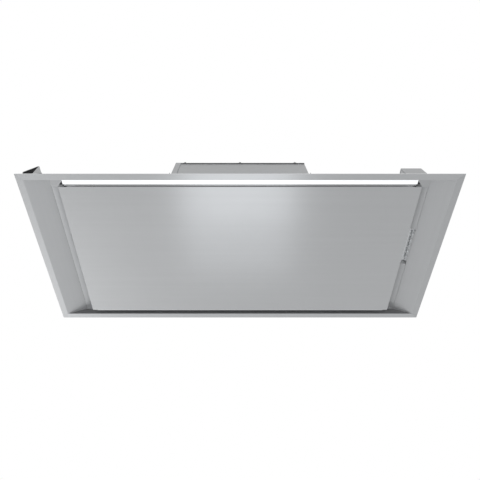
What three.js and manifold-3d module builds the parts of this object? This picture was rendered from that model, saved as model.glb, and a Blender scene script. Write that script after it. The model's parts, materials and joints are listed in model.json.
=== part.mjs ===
// A ceiling range hood that is built into a ceiling, in millimetres.
// +Z is up, +X is to the right, and -Y is the side with the light bar.
// The origin is the centre of the rim's underside.
import * as THREE from "three";
import { mergeVertices } from "three/addons/utils/BufferGeometryUtils.js";
import Module from "manifold-3d";

const wasm = await Module();
wasm.setup();

// ---- Sizes ----------------------------------------------------------------------------------

// Rim and recess
const hoodWidth = 1200;
const hoodDepth = 500;
const fasciaSheet = 1.2; // stainless sheet
const casingSheet = 1; // sheet of the recess's roof and the motor box
const seat = 0.3; // clearance between pieces that rest on each other
const overshoot = 1; // a cutting tool runs past the face it leaves by
const sideRim = 19; // rim strips at left and right
const longRim = 17; // rim strips at near and far
const hemWidth = 7; // folded-back edge on top of the rim
const slopeRun = 56; // sloped side panels
const slopeRise = 28;
const recessHeight = 43;

// Light bar along the near wall
const lightInset = 47; // from each side wall to the light bar's end
const lightWidth = 11.6;
const lightBarTop = 27;
const diffuserThickness = 2;
const diffuserLeg = 6;
const lightBoardThickness = 1.6;
const lightWebHeight = 16;

// Corner gussets at the ends of the light bar
const gussetSide = 18; // along the side wall, from the wall face inwards
const gussetReach = 29; // along the side wall, away from the near wall
const gussetLap = 4; // gap between the light bar's end and the gusset

// Door
const sideSlot = 32.5; // suction slot between the door and each side wall
const nearSlot = 7.5;
const farSlot = 17;
const doorHeight = 12;
const doorSheet = 1;
const lipInset = 15; // the grip lip stops short of the door's corners
const lipReach = 2.5;
const lipThickness = 3;
const lipChamfer = 1;
const stiffenerX = 165;
const stiffenerTop = 24; // width of the hat section's flat top
const stiffenerFoot = 10;
const stiffenerHeight = 9;
const stiffenerSheet = 0.8;
const stiffenerEndGap = 24;

// Door hinge: an arm on the casing, a clevis bracket and a pin on the door
const hingeEdge = 92.5; // from the door's side edge to the hinge's middle
const hingeInset = 10.6; // hinge axis behind the door's near edge
const hingeHeight = 8; // hinge axis above the rim's underside
const pinRadius = 2;
const pinPlay = 0.1; // running clearance
const pinEnd = 1; // the pin stands out of the clevis at each end
const eyeRadius = 4.6;
const armThickness = 4;
const armWidth = 5;
const armPlay = 1;
const earThickness = 2;
const earRadius = 4.4;
const clevisBase = 1.2;
const clevisWing = 12;
const armFlange = 22;
const notchWidth = 12;
const notchHeight = 8;

// Magnetic catches over the stiffeners
const catchWidth = 30;
const catchDepth = 16;
const catchBlock = 12;
const catchStrap = 1.5;
const catchSetback = 30; // from the door's far edge to the catch's middle
const catchAirGap = 0.6;

// Motor box
const boxWidth = 392;
const boxLength = 392;
const boxSetback = 25; // front panel behind the rim's near edge
const boxHeight = 117.4;
const cornerFlange = 15;
const cornerRise = 6; // the corner flange stands above the box walls
const topFlange = 12;
const coverOverhang = 2.5;
const coverScrews = 3;
const screwSpacing = 168;
const screwFlange = 5.5; // radius of the flange under the bolt's head
const screwRadius = 4.3;
const screwHeight = 9;
const screwFlangeHeight = 1.5;
const screwChamfer = 1.2;
const coverTurnUp = 12; // flange of the plenum covers along the motor box

// Outlet spigot and damper
const ductWidth = 220;
const ductHeight = 87;
const ductWall = 1.5;
const ductCorner = 2.5;
const ductLength = 43;
const ductFlange = 8;
const flapThickness = 1.2;
const flapPinRadius = 2;
const flapPinPlay = 0.1;
const flapSetback = 7; // flap pins behind the spigot's flange
const flapEdgePlay = 0.8;
const ribWidth = 2.4; // pressed rib across each flap
const ribDepth = 1.8;
const ribInset = 22; // from the flap's side edges

// Blower
const blowerX = -46;
const blowerY = -68;
const scrollStart = 98; // scroll radius at the tongue
const scrollEnd = 155; // scroll radius at the outlet
const tongueAngle = 60;
const scrollSteps = 24;
const scrollSheet = 1.2;
const scrollHeight = 80;
const scrollLift = 12.4; // scroll underside above the motor box floor
const scrollLap = 4; // top and bottom plates reach past the wall
const mouthWidth = 212;
const postRadius = 6;
const postCount = 4;
const throatRadius = 70;
const bellRadius = 84;
const bellDepth = 10;
const bellSleeve = 5;
const bellFlange = 10;
const bellSheet = 1.2;
const bellSteps = 6;
const impellerRadius = 88;
const bladeInner = 74;
const bladeInset = 0.5; // the blades end inside the ring's edges
const bladeSheet = 1;
const bladeCount = 36;
const bladeSteps = 4;
const bladeBend = 9; // degrees that a blade curls forwards
const bladeLead = 4; // degrees that its inner edge leans back
const impellerLift = 6; // impeller ring above the scroll's bottom plate
const impellerHeight = 62;
const impellerSheet = 1.5;
const rotorRadius = 42;
const rotorWall = 2;
const rotorHeight = 36;
const rotorFlange = 10;
const statorPlay = 1.5;
const shaftRadius = 4;
const shaftPlay = 0.08;
const shaftSetback = 2; // the shaft ends below the top plate
const motorNeck = 30;

// Grease filters
const filterWidth = 187;
const filterLength = 378;
const filterHeight = 9.5;
const filterGap = 4; // between the two filters
const filterStart = 20.7; // near wall to the filters
const filterBorder = 12;
const filterLip = 1;
const filterGroove = 8; // depth of the frame's channel round the mesh
const meshThickness = 2.5;
const meshColumns = 6;
const meshRows = 14;
const meshWeb = 3.2;
const ledgeWidth = 9;
const ledgeDrop = 2;
const filterOverlap = 6; // the frame plate laps over the filters' edges
const frameMargin = 7; // and reaches at least this far past their sides
const latchWidth = 60;
const latchDepth = 14;
const latchThickness = 2;
const latchTongue = 20;
const latchReach = 5;
const latchTab = 8;
const latchPlay = 0.6;

// Controls on the right wall
const controlLength = 111;
const controlHeight = 13;
const controlCentreY = -10;
const controlCentreZ = 35.8;
const bezelThickness = 1;
const bezelLap = 1.5;
const controlDepth = 15;
const controlWall = 1.4;
const bezelCorner = 3;
const bodyCorner = 1;
const buttonCount = 5;
const buttonPitch = 20;
const buttonLength = 14;
const buttonHeight = 6;
const buttonProud = 1.4;
const buttonPlay = 0.3;
const buttonCollar = 1.2;
const buttonLedge = 1; // the collar is longer than the cap at each end
const buttonCorner = 1.8;
const buttonPlate = 5.4; // thickness of the plate behind the bezel that guides the buttons
const buttonTravel = 1;
const boardThickness = 1.6;

// Terminal box, gland and electronics on the plenum covers
const terminalInset = 2; // from the side wall
const terminalWidth = 58.4;
const terminalDepth = 44;
const terminalHeight = 51;
const terminalWall = 1.5;
const terminalSetback = 17; // behind the rim's near edge
const glandNut = 9.2; // across the hexagon's corners, as a radius
const glandNutHeight = 6.3;
const glandDome = 7.2;
const glandTip = 4.4;
const glandTaper = 10;
const glandStem = 4.8;
const glandBore = 3.2;
const glandLength = 22;
const driverLength = 150;
const driverWidth = 42;
const driverHeight = 22;
const driverTaper = 3;
const driverDistance = 60; // from the motor box
const controllerLength = 150;
const controllerWidth = 96;
const controllerHeight = 32;
const controllerDistance = 40; // from the motor box
const finHeight = 6;
const finCount = 9;
const finTopShare = 0.5; // of the pitch
const finGapShare = 0.2;

// Mounting brackets
const bracketSheet = 1.5;
const bracketLength = 60;
const bracketTop = 78.4;
const bracketInset = 40.5; // foot of the upright plate, inside the rim's side edge
const bracketCrest = 29.5; // top of the plate, inside the rim's side edge
const bracketReach = 9; // outermost fold, inside the rim's side edge
const bracketElbow = 29; // height of that fold
const bracketLip = 6; // the lip turns in again by this much
const bracketGrip = 15; // height of the lip's edge, over the ceiling panel
const bracketFoot = 22;
const bracketSetback = 5;
const bracketShift = 35; // the near right bracket leaves room beside the terminal box

// Facets of round forms
const smallSides = 12;
const pinSides = 16;
const stemSides = 20;
const motorSides = 32;
const ringSides = 48;

// ---- Sizes that follow from these -------------------------------------------------------------

const rimX = hoodWidth / 2;
const rimY = hoodDepth / 2;
const slopeX = rimX - sideRim;
const wallX = slopeX - slopeRun;
const wallY = rimY - longRim;
const roofZ = recessHeight + seat; // underside of the plenum roof
const roofTop = roofZ + casingSheet;
const slopePitch = slopeRise / slopeRun;
const slopeLift = Math.hypot(1, slopePitch); // upright thickness of a sheet that lies on the slope
const lightFar = -wallY + seat + lightWidth;
const lightLength = 2 * (wallX - lightInset);
const doorX = wallX - sideSlot;
const hingeX = doorX - hingeEdge;
const doorNear = lightFar + nearSlot;
const doorFar = wallY - farSlot;
const hingeY = doorNear + hingeInset;
const boxX = boxWidth / 2;
const boxNear = -rimY + boxSetback;
const boxFar = boxNear + boxLength;
const boxBase = roofTop + seat;
const boxTop = boxBase + boxHeight;
const coverZ = boxTop + seat;
const frameX = Math.max(boxX, filterWidth + filterGap / 2 + frameMargin); // side edges of the filter frame

// ---- Materials ----------------------------------------------------------------------------------

function finish(color, metalness, roughness) {
  return new THREE.MeshStandardMaterial({ color, metalness, roughness });
}
const stainless = finish(0xb4b7b9, 0.9, 0.35);
const galvanised = finish(0x9a9da0, 0.8, 0.5);
const aluminium = finish(0xc2c5c8, 0.9, 0.4);
const steel = finish(0x8a8d90, 0.9, 0.4);
const opal = finish(0xffffff, 0, 0.4);
const blackPlastic = finish(0x1d1e20, 0, 0.5);
const greyPlastic = finish(0x86898c, 0, 0.5);
const boardGreen = finish(0x2c5a3c, 0, 0.6);

// ---- Shape helpers --------------------------------------------------------------------------------

const { cos, sin, PI } = Math;
const degrees = PI / 180;

// A closed outline from a list of [x, y] points, with any holes given the same way.
function outline(points, holes = []) {
  const shape = new THREE.Shape(points.map(([x, y]) => new THREE.Vector2(x, y)));
  for (const hole of holes) {
    shape.holes.push(new THREE.Path(hole.map(([x, y]) => new THREE.Vector2(x, y))));
  }
  return shape;
}

function rectangle(x0, x1, y0, y1) {
  return [[x0, y0], [x1, y0], [x1, y1], [x0, y1]];
}

function circle(x, y, radius, sides) {
  return Array.from({ length: sides }, (_, i) => {
    const angle = (2 * PI * i) / sides;
    return [x + radius * cos(angle), y + radius * sin(angle)];
  });
}

function roundedRectangle(x0, x1, y0, y1, radius, steps = 4) {
  const corners = [
    [x1 - radius, y1 - radius, 0],
    [x0 + radius, y1 - radius, 90],
    [x0 + radius, y0 + radius, 180],
    [x1 - radius, y0 + radius, 270],
  ];
  return corners.flatMap(([x, y, start]) =>
    Array.from({ length: steps + 1 }, (_, i) => {
      const angle = (start + (90 * i) / steps) * degrees;
      return [x + radius * cos(angle), y + radius * sin(angle)];
    }),
  );
}

// The path moved sideways to its left by a distance, with mitred corners.
function offset(path, distance) {
  const normals = path.slice(1).map(([x, y], i) => {
    const [px, py] = path[i];
    const length = Math.hypot(x - px, y - py);
    return [-(y - py) / length, (x - px) / length];
  });
  return path.map(([x, y], i) => {
    const before = normals[Math.max(i - 1, 0)];
    const after = normals[Math.min(i, normals.length - 1)];
    const along = 1 + before[0] * after[0] + before[1] * after[1];
    return [
      x + (distance * (before[0] + after[0])) / along,
      y + (distance * (before[1] + after[1])) / along,
    ];
  });
}

// The section of a sheet that is folded along a path, with its thickness on the path's left.
function folded(path, thickness) {
  return outline([...path, ...offset(path, thickness).reverse()]);
}

// Extrusions of an outline: an XY outline upwards, an XZ outline along Y, a YZ outline along X.
function upward(shape, z0, z1) {
  return new THREE.ExtrudeGeometry(shape, { depth: z1 - z0, bevelEnabled: false }).translate(0, 0, z0);
}
function alongY(shape, y0, y1) {
  const geometry = new THREE.ExtrudeGeometry(shape, { depth: y1 - y0, bevelEnabled: false });
  return geometry.rotateX(PI / 2).translate(0, y1, 0);
}
const yzToWorld = new THREE.Matrix4().makeBasis(
  new THREE.Vector3(0, 1, 0),
  new THREE.Vector3(0, 0, 1),
  new THREE.Vector3(1, 0, 0),
);
function alongX(shape, x0, x1) {
  const geometry = new THREE.ExtrudeGeometry(shape, { depth: x1 - x0, bevelEnabled: false });
  return geometry.applyMatrix4(yzToWorld).translate(x0, 0, 0);
}

function block(x0, x1, y0, y1, z0, z1) {
  return upward(outline(rectangle(x0, x1, y0, y1)), z0, z1);
}

// A closed [radius, height] profile turned about the Z axis.
function turned(profile, sides) {
  const points = [...profile, profile[0]].map(([r, z]) => new THREE.Vector2(r, z));
  const geometry = new THREE.LatheGeometry(points, sides);
  return geometry.rotateX(PI / 2);
}

function toSolid(geometry) {
  const bare = geometry.clone();
  bare.deleteAttribute("normal");
  bare.deleteAttribute("uv");
  const merged = mergeVertices(bare, 1e-4);
  return new wasm.Manifold(
    new wasm.Mesh({
      numProp: 3,
      vertProperties: new Float32Array(merged.attributes.position.array),
      triVerts: new Uint32Array(merged.index.array),
    }),
  );
}

function toGeometry(solid) {
  const mesh = solid.getMesh();
  const geometry = new THREE.BufferGeometry();
  geometry.setAttribute("position", new THREE.BufferAttribute(mesh.vertProperties, 3));
  geometry.setIndex(new THREE.BufferAttribute(mesh.triVerts, 1));
  const flat = geometry.toNonIndexed();
  flat.computeVertexNormals();
  return flat;
}

function join(first, ...rest) {
  return toGeometry(rest.reduce((sum, piece) => sum.add(toSolid(piece)), toSolid(first)));
}

function cut(first, ...tools) {
  return toGeometry(tools.reduce((sum, tool) => sum.subtract(toSolid(tool)), toSolid(first)));
}

function add(parent, name, geometry, material, x = 0, y = 0, z = 0) {
  const mesh = new THREE.Mesh(geometry, material.clone());
  mesh.name = name;
  mesh.position.set(x, y, z);
  parent.add(mesh);
  return mesh;
}

const mirrored = ([x, y]) => [-x, y];
const sides = [["left", -1], ["right", 1]];
const hood = new THREE.Group();

// ---- Fascia ---------------------------------------------------------------------------------------

// The inner face of the recess at the right: up the slope, then up the wall.
const recessPath = [[slopeX, 0], [wallX, slopeRise], [wallX, recessHeight]];
const recessBack = offset(recessPath, -fasciaSheet);

// Near or far fascia: a mitred rim strip with a hem, and the end wall of the recess.
function longFascia() {
  const strip = (width) => outline([
    [-rimX + seat, -rimY],
    [rimX - seat, -rimY],
    [rimX - seat - (width * sideRim) / longRim, -rimY + width],
    [-rimX + seat + (width * sideRim) / longRim, -rimY + width],
  ]);
  const half = [[slopeX - seat, 0], [slopeX - seat, recessBack[0][1]], recessBack[1], recessBack[2]];
  const wall = outline([...half, ...half.map(mirrored).reverse()]);
  return join(
    upward(strip(longRim), 0, fasciaSheet),
    upward(strip(hemWidth), fasciaSheet / 2, 2 * fasciaSheet),
    alongY(wall, -wallY - fasciaSheet, -wallY),
  );
}

// Side fascia, made for the right: a mitred rim strip with a hem, the slope and the wall.
function sideFascia() {
  const strip = (width) => outline([
    [rimX, -rimY],
    [rimX, rimY],
    [rimX - width, rimY - (width * longRim) / sideRim],
    [rimX - width, -rimY + (width * longRim) / sideRim],
  ]);
  const sheet = folded([[slopeX + fasciaSheet, 0], ...recessPath], -fasciaSheet);
  return join(
    upward(strip(sideRim), 0, fasciaSheet),
    upward(strip(hemWidth), fasciaSheet / 2, 2 * fasciaSheet),
    alongY(sheet, -wallY + seat, wallY - seat),
  );
}

add(hood, "front_fascia", longFascia(), stainless);
add(hood, "rear_fascia", longFascia().rotateZ(PI), stainless);
add(hood, "left_fascia", sideFascia().rotateZ(PI), stainless);
const controlWindow = alongX(
  outline(rectangle(
    controlCentreY - controlLength / 2 + bezelLap - seat,
    controlCentreY + controlLength / 2 - bezelLap + seat,
    controlCentreZ - controlHeight / 2 + bezelLap - seat,
    controlCentreZ + controlHeight / 2 - bezelLap + seat,
  )),
  wallX - overshoot,
  wallX + fasciaSheet + overshoot,
);
add(hood, "right_fascia", cut(sideFascia(), controlWindow), stainless);

// Corner gussets close the recess above the light bar's ends.
function cornerGusset() {
  const edge = wallX - seat;
  return upward(
    outline([
      [lightLength / 2 + gussetLap, -wallY + seat],
      [edge, -wallY + seat],
      [edge, -wallY + gussetReach],
      [edge - gussetSide, -wallY + gussetReach],
    ]),
    lightBarTop + seat,
    lightBarTop + seat + fasciaSheet,
  );
}
for (const [side, sign] of sides) {
  const gusset = add(hood, `corner_gusset_${side}`, cornerGusset(), stainless);
  gusset.scale.x = sign;
}

// ---- Plenum roof --------------------------------------------------------------------------------

// Left and right covers: flat sheets with a flange turned up along the motor box.
function plenumCover() {
  const inner = frameX + seat;
  const section = folded(
    [[inner, roofZ + coverTurnUp], [inner, roofZ], [wallX + fasciaSheet, roofZ]],
    casingSheet,
  );
  return alongY(section, -wallY - fasciaSheet, wallY + fasciaSheet);
}
for (const [side, sign] of sides) {
  const cover = add(hood, `plenum_cover_${side}`, plenumCover(), stainless);
  cover.scale.x = sign;
}

// The filter frame between them, with keepers for the latches and a ledge under the filters' far edge.
const filterTop = roofZ - seat;
const filterBottom = filterTop - filterHeight;
const filterNear = -wallY + filterStart;
const filterFar = filterNear + filterLength;
const filterCentreX = (filterWidth + filterGap) / 2;
const latchTop = filterBottom - seat;

function filterFrame() {
  const openingX = filterWidth + filterGap / 2 - filterOverlap;
  const plate = upward(
    outline(rectangle(-frameX, frameX, -wallY - fasciaSheet, wallY + fasciaSheet), [
      rectangle(-openingX, openingX, filterNear + filterOverlap, filterFar - filterOverlap),
    ]),
    roofZ,
    roofTop,
  );
  const ledgeBack = filterFar + seat;
  const ledge = folded(
    [
      [ledgeBack - ledgeWidth, filterBottom - seat - casingSheet],
      [ledgeBack + casingSheet, filterBottom - seat - casingSheet],
      [ledgeBack + casingSheet, roofTop - casingSheet / 2],
    ],
    casingSheet,
  );
  const keeperFace = filterNear - seat;
  const keeper = rectangle(
    keeperFace - casingSheet,
    keeperFace,
    latchTop - latchThickness - ledgeDrop - latchPlay,
    roofTop - casingSheet / 2,
  );
  const reach = filterWidth + filterGap / 2;
  const slots = sides.map(([, sign]) =>
    block(
      sign * filterCentreX - latchTongue / 2 - latchPlay,
      sign * filterCentreX + latchTongue / 2 + latchPlay,
      keeperFace - casingSheet - overshoot,
      keeperFace + overshoot,
      latchTop - latchThickness - latchPlay,
      latchTop + latchPlay,
    ),
  );
  return cut(
    join(plate, alongX(ledge, -reach, reach), alongX(outline(keeper), -reach, reach)),
    ...slots,
  );
}
add(hood, "filter_frame", filterFrame(), galvanised);

// ---- Motor box ----------------------------------------------------------------------------------

// A side of the box, made for the right: an upright sheet with its top edge turned in.
function boxSide() {
  const section = folded(
    [[boxX, boxBase], [boxX, boxTop], [boxX - topFlange, boxTop]],
    casingSheet,
  );
  return alongY(section, boxNear + casingSheet + seat, boxFar - casingSheet - seat);
}
// The left side also wraps round the front panel's edge as a corner flange.
function cornerWrap() {
  const face = boxNear - seat;
  const section = folded(
    [[-boxX, boxNear + topFlange], [-boxX, face - casingSheet], [-boxX + cornerFlange, face - casingSheet]],
    casingSheet,
  );
  return upward(section, boxBase, boxTop + cornerRise);
}
add(hood, "motor_box_right", boxSide(), galvanised);
const leftSide = boxSide().rotateZ(PI).translate(0, boxNear + boxFar, 0);
add(hood, "motor_box_left", join(leftSide, cornerWrap()), galvanised);
add(
  hood,
  "motor_box_front",
  block(-boxX + casingSheet + seat, boxX, boxNear, boxNear + casingSheet, boxBase, boxTop),
  galvanised,
);

const ductZ = (boxBase + boxTop) / 2;
const ductInnerX = ductWidth / 2 - ductWall;
const ductInnerZ = ductHeight / 2 - ductWall;
const ductHole = roundedRectangle(
  -ductInnerX, ductInnerX, ductZ - ductInnerZ, ductZ + ductInnerZ, ductCorner - ductWall,
);
add(
  hood,
  "motor_box_rear",
  alongY(outline(rectangle(-boxX, boxX, boxBase, boxTop), [ductHole]), boxFar - casingSheet, boxFar),
  galvanised,
);

// The cover overhangs the front panel, and stops beside the corner flange there.
function boxCover() {
  const edge = boxX - casingSheet - seat;
  const flangeEnd = -boxX + cornerFlange + seat;
  const plate = upward(
    outline([
      [-edge, boxFar],
      [-edge, boxNear],
      [flangeEnd, boxNear],
      [flangeEnd, boxNear - coverOverhang],
      [boxX, boxNear - coverOverhang],
      [boxX, boxFar],
    ]),
    coverZ,
    coverZ + casingSheet,
  );
  const head = turned(
    [
      [0, -casingSheet / 2],
      [screwFlange, -casingSheet / 2],
      [screwFlange, screwFlangeHeight],
      [screwRadius, screwFlangeHeight],
      [screwRadius, screwHeight - screwChamfer],
      [screwRadius - screwChamfer, screwHeight],
      [0, screwHeight],
    ],
    smallSides,
  ).translate(0, 0, coverZ + casingSheet);
  const heads = [];
  for (let i = 0; i < coverScrews; i++) {
    const x = (i - (coverScrews - 1) / 2) * screwSpacing;
    for (const y of [boxNear - coverOverhang + screwFlange + seat, boxFar - 2 * screwFlange]) {
      heads.push(head.clone().translate(x, y, 0));
    }
  }
  return join(plate, ...heads);
}
add(hood, "motor_box_cover", boxCover(), galvanised);

// ---- Outlet spigot and damper ---------------------------------------------------------------------

const spigotStart = boxFar + seat;
const spigotEnd = spigotStart + ductWall + ductLength;
const flapY = spigotStart + ductWall + flapSetback;
const flapHeight = (2 * ductInnerZ - 3 * flapEdgePlay) / 2;
const flapPins = [
  ["upper", ductZ + ductInnerZ - flapEdgePlay - flapPinRadius],
  ["lower", ductZ - flapEdgePlay / 2 - flapPinRadius],
];

function outletSpigot() {
  const tube = (reach, corner) => roundedRectangle(
    -ductWidth / 2 - reach,
    ductWidth / 2 + reach,
    ductZ - ductHeight / 2 - reach,
    ductZ + ductHeight / 2 + reach,
    corner,
  );
  const sleeve = alongY(outline(tube(0, ductCorner), [ductHole]), spigotStart, spigotEnd);
  const flange = alongY(
    outline(tube(ductFlange, ductCorner + ductFlange), [ductHole]),
    spigotStart,
    spigotStart + ductWall,
  );
  const bores = flapPins.map(([, z]) =>
    alongX(outline(circle(flapY, z, flapPinRadius + flapPinPlay, pinSides)), -ductWidth, ductWidth),
  );
  return cut(join(sleeve, flange), ...bores);
}
add(hood, "outlet_spigot", outletSpigot(), galvanised);

// A damper leaf hangs from its pin. Its own origin is the pin's axis.
function damperLeaf() {
  const leafX = ductInnerX - flapEdgePlay;
  const pin = alongX(outline(circle(0, 0, flapPinRadius, pinSides)), -ductWidth / 2, ductWidth / 2);
  const leaf = alongY(
    outline(roundedRectangle(-leafX, leafX, -flapHeight + flapPinRadius, 0, flapEdgePlay)),
    -flapThickness / 2,
    flapThickness / 2,
  );
  const ribMiddle = -flapHeight / 2;
  const rib = alongX(
    outline([
      [-flapThickness / 2 - ribDepth, ribMiddle],
      [flapThickness / 2, ribMiddle - ribWidth / 2],
      [flapThickness / 2, ribMiddle + ribWidth / 2],
    ]),
    -leafX + ribInset,
    leafX - ribInset,
  );
  return join(pin, leaf, rib);
}
for (const [place, z] of flapPins) {
  add(hood, `damper_flap_${place}`, damperLeaf(), aluminium, 0, flapY, z);
}

// ---- Blower, about the motor's axis --------------------------------------------------------------

const blower = new THREE.Group();
blower.position.set(blowerX, blowerY, boxBase);
hood.add(blower);
const scrollFar = boxFar - casingSheet - seat - blowerY; // outlet end of the scroll
const mouthRight = scrollEnd;
const mouthLeft = mouthRight - mouthWidth;
const scrollFloor = scrollLift;
const scrollWallZ = scrollFloor + scrollSheet + seat;
const scrollRoof = scrollWallZ + scrollHeight + seat;
const blowerCeiling = boxHeight; // posts end a seat below the box cover

// Points of the spiral from one angle to the outlet at angle 360, moved out by a distance.
function spiral(fromAngle, reach) {
  return Array.from({ length: scrollSteps + 1 }, (_, i) => {
    const angle = fromAngle + ((360 - fromAngle) * i) / scrollSteps;
    const share = (angle - tongueAngle) / (360 - tongueAngle);
    const radius = scrollStart + (scrollEnd - scrollStart) * share + reach;
    return [radius * cos(angle * degrees), radius * sin(angle * degrees)];
  });
}

const scrollPath = [[mouthLeft, scrollFar], ...spiral(tongueAngle, 0), [mouthRight, scrollFar]];
add(
  blower,
  "scroll_wall",
  upward(folded(scrollPath, -scrollSheet), scrollWallZ, scrollWallZ + scrollHeight),
  galvanised,
);

const plateStart = 100; // the plates' outline leaves the outlet for the spiral at this angle
const plateEdge = [
  [mouthLeft - scrollLap, scrollFar],
  ...spiral(plateStart, scrollSheet + scrollLap),
  [mouthRight + scrollSheet + scrollLap, scrollFar],
];
add(
  blower,
  "scroll_bottom_plate",
  upward(
    outline(plateEdge, [circle(0, 0, bellRadius + 2 * bellSheet, ringSides)]),
    scrollFloor,
    scrollFloor + scrollSheet,
  ),
  galvanised,
);

function blowerTopPlate() {
  const plate = upward(outline(plateEdge), scrollRoof, scrollRoof + scrollSheet);
  const reach = scrollStart - postRadius;
  const posts = Array.from({ length: postCount }, (_, i) => {
    const angle = (2 * PI * (i + 0.5)) / postCount;
    return upward(
      outline(circle(reach * cos(angle), reach * sin(angle), postRadius, smallSides)),
      scrollRoof + scrollSheet / 2,
      blowerCeiling,
    );
  });
  return join(plate, ...posts);
}
add(blower, "blower_top_plate", blowerTopPlate(), galvanised);

// Bell mouth: a flange under the bottom plate that curves up into the impeller's eye.
function inletRing() {
  const rise = bellDepth + bellSheet;
  const flangeZ = scrollFloor - seat - bellSheet;
  const curve = (grow) =>
    Array.from({ length: bellSteps + 1 }, (_, i) => {
      const angle = (PI * i) / (2 * bellSteps);
      return [
        bellRadius - (bellRadius - throatRadius - grow) * cos(angle),
        flangeZ + rise - (rise - grow) * sin(angle),
      ];
    });
  const inside = [
    [throatRadius, flangeZ + rise + bellSleeve],
    ...curve(0),
    [bellRadius + bellFlange, flangeZ],
  ];
  const outside = [
    [bellRadius + bellFlange, flangeZ + bellSheet],
    ...curve(bellSheet).reverse(),
    [throatRadius + bellSheet, flangeZ + rise + bellSleeve],
  ];
  return turned([...inside, ...outside], ringSides);
}
add(blower, "inlet_ring", inletRing(), galvanised);

// The impeller: a ring, a back plate and forward-curved blades between them.
const impellerFloor = scrollFloor + scrollSheet + impellerLift;
const impellerTop = impellerFloor + impellerHeight;
function impeller() {
  const ring = turned([
    [bladeInner, impellerFloor],
    [impellerRadius, impellerFloor],
    [impellerRadius, impellerFloor + impellerSheet],
    [bladeInner, impellerFloor + impellerSheet],
  ], ringSides);
  const back = turned([
    [rotorRadius + seat, impellerTop - impellerSheet],
    [impellerRadius, impellerTop - impellerSheet],
    [impellerRadius, impellerTop],
    [rotorRadius + seat, impellerTop],
  ], ringSides);
  const bladePath = Array.from({ length: bladeSteps + 1 }, (_, i) => {
    const share = i / bladeSteps;
    const radius = bladeInner + bladeInset + (impellerRadius - bladeInner - 2 * bladeInset) * share;
    const angle = (bladeBend * share * share - bladeLead * share) * degrees;
    return [radius * cos(angle), radius * sin(angle)];
  });
  const blade = upward(
    folded(bladePath, bladeSheet),
    impellerFloor + impellerSheet / 2,
    impellerTop - impellerSheet / 2,
  );
  const blades = Array.from(
    { length: bladeCount },
    (_, i) => blade.clone().rotateZ((2 * PI * i) / bladeCount),
  );
  return join(ring, back, ...blades);
}
add(blower, "impeller", impeller(), galvanised);

// External rotor: a cup with the shaft in its middle, under the impeller's back plate.
const rotorTop = impellerTop - impellerSheet - seat;
const rotorFloor = rotorTop - rotorHeight;
const shaftTop = scrollRoof - seat - shaftSetback;
add(
  blower,
  "rotor",
  turned([
    [0, rotorFloor],
    [rotorRadius, rotorFloor],
    [rotorRadius, rotorTop - rotorWall],
    [rotorRadius + rotorFlange, rotorTop - rotorWall],
    [rotorRadius + rotorFlange, rotorTop],
    [rotorRadius - rotorWall, rotorTop],
    [rotorRadius - rotorWall, rotorFloor + rotorWall],
    [shaftRadius, rotorFloor + rotorWall],
    [shaftRadius, shaftTop],
    [0, shaftTop],
  ], motorSides),
  steel,
);

// Stator: a core inside the rotor cup, on a neck and a flange under the top plate.
const statorTop = scrollRoof - seat;
const statorRadius = rotorRadius - rotorWall - statorPlay;
const statorBore = shaftRadius + shaftPlay;
add(
  blower,
  "motor_stator",
  turned([
    [statorBore, rotorFloor + rotorWall + statorPlay],
    [statorRadius, rotorFloor + rotorWall + statorPlay],
    [statorRadius, rotorTop],
    [motorNeck, rotorTop],
    [motorNeck, statorTop - scrollSheet],
    [rotorRadius, statorTop - scrollSheet],
    [rotorRadius, statorTop],
    [statorBore, statorTop],
  ], motorSides),
  blackPlastic,
);

// ---- Grease filters ---------------------------------------------------------------------------------

// Each filter is built about its own centre, with its underside at z = 0.
const meshX = filterWidth / 2 - filterBorder + filterGroove - seat;
const meshY = filterLength / 2 - filterBorder + filterGroove - seat;

function filterRing() {
  const x = filterWidth / 2;
  const y = filterLength / 2;
  const body = block(-x, x, -y, y, 0, filterHeight);
  const openX = x - filterBorder;
  const openY = y - filterBorder;
  const window = block(-openX, openX, -openY, openY, -overshoot, filterHeight + overshoot);
  const grooveX = x - filterBorder + filterGroove;
  const grooveY = y - filterBorder + filterGroove;
  const groove = block(-grooveX, grooveX, -grooveY, grooveY, filterLip, filterHeight - filterLip);
  return cut(body, window, groove);
}

// Stretched-metal mesh: staggered rows of diamonds.
function filterMesh() {
  const openX = filterWidth - 2 * filterBorder;
  const openY = filterLength - 2 * filterBorder;
  const pitchX = openX / (meshColumns + 0.5);
  const pitchY = openY / (meshRows + 1);
  const holes = [];
  for (let row = 0; row < meshRows; row++) {
    for (let column = 0; column < meshColumns; column++) {
      const x = -openX / 2 + pitchX * (column + (row % 2 ? 1 : 0.5));
      const y = -openY / 2 + pitchY * (row + 1);
      const halfX = pitchX / 2 - meshWeb / 2;
      const halfY = pitchY - meshWeb;
      holes.push([[x - halfX, y], [x, y - halfY], [x + halfX, y], [x, y + halfY]]);
    }
  }
  return upward(outline(rectangle(-meshX, meshX, -meshY, meshY), holes), 0, meshThickness);
}

// Latch: a slider under the frame's near bar, with a tongue in the keeper and a finger tab.
function filterLatch() {
  const near = -filterLength / 2 + seat;
  const plate = alongX(
    folded(
      [
        [near, -seat - latchThickness],
        [near + latchDepth, -seat - latchThickness],
        [near + latchDepth, -seat - latchThickness - latchTab],
      ],
      latchThickness,
    ),
    -latchWidth / 2,
    latchWidth / 2,
  );
  const tongue = block(
    -latchTongue / 2,
    latchTongue / 2,
    near - latchReach,
    near + latchThickness,
    -seat - latchThickness,
    -seat,
  );
  return join(plate, tongue);
}

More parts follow.
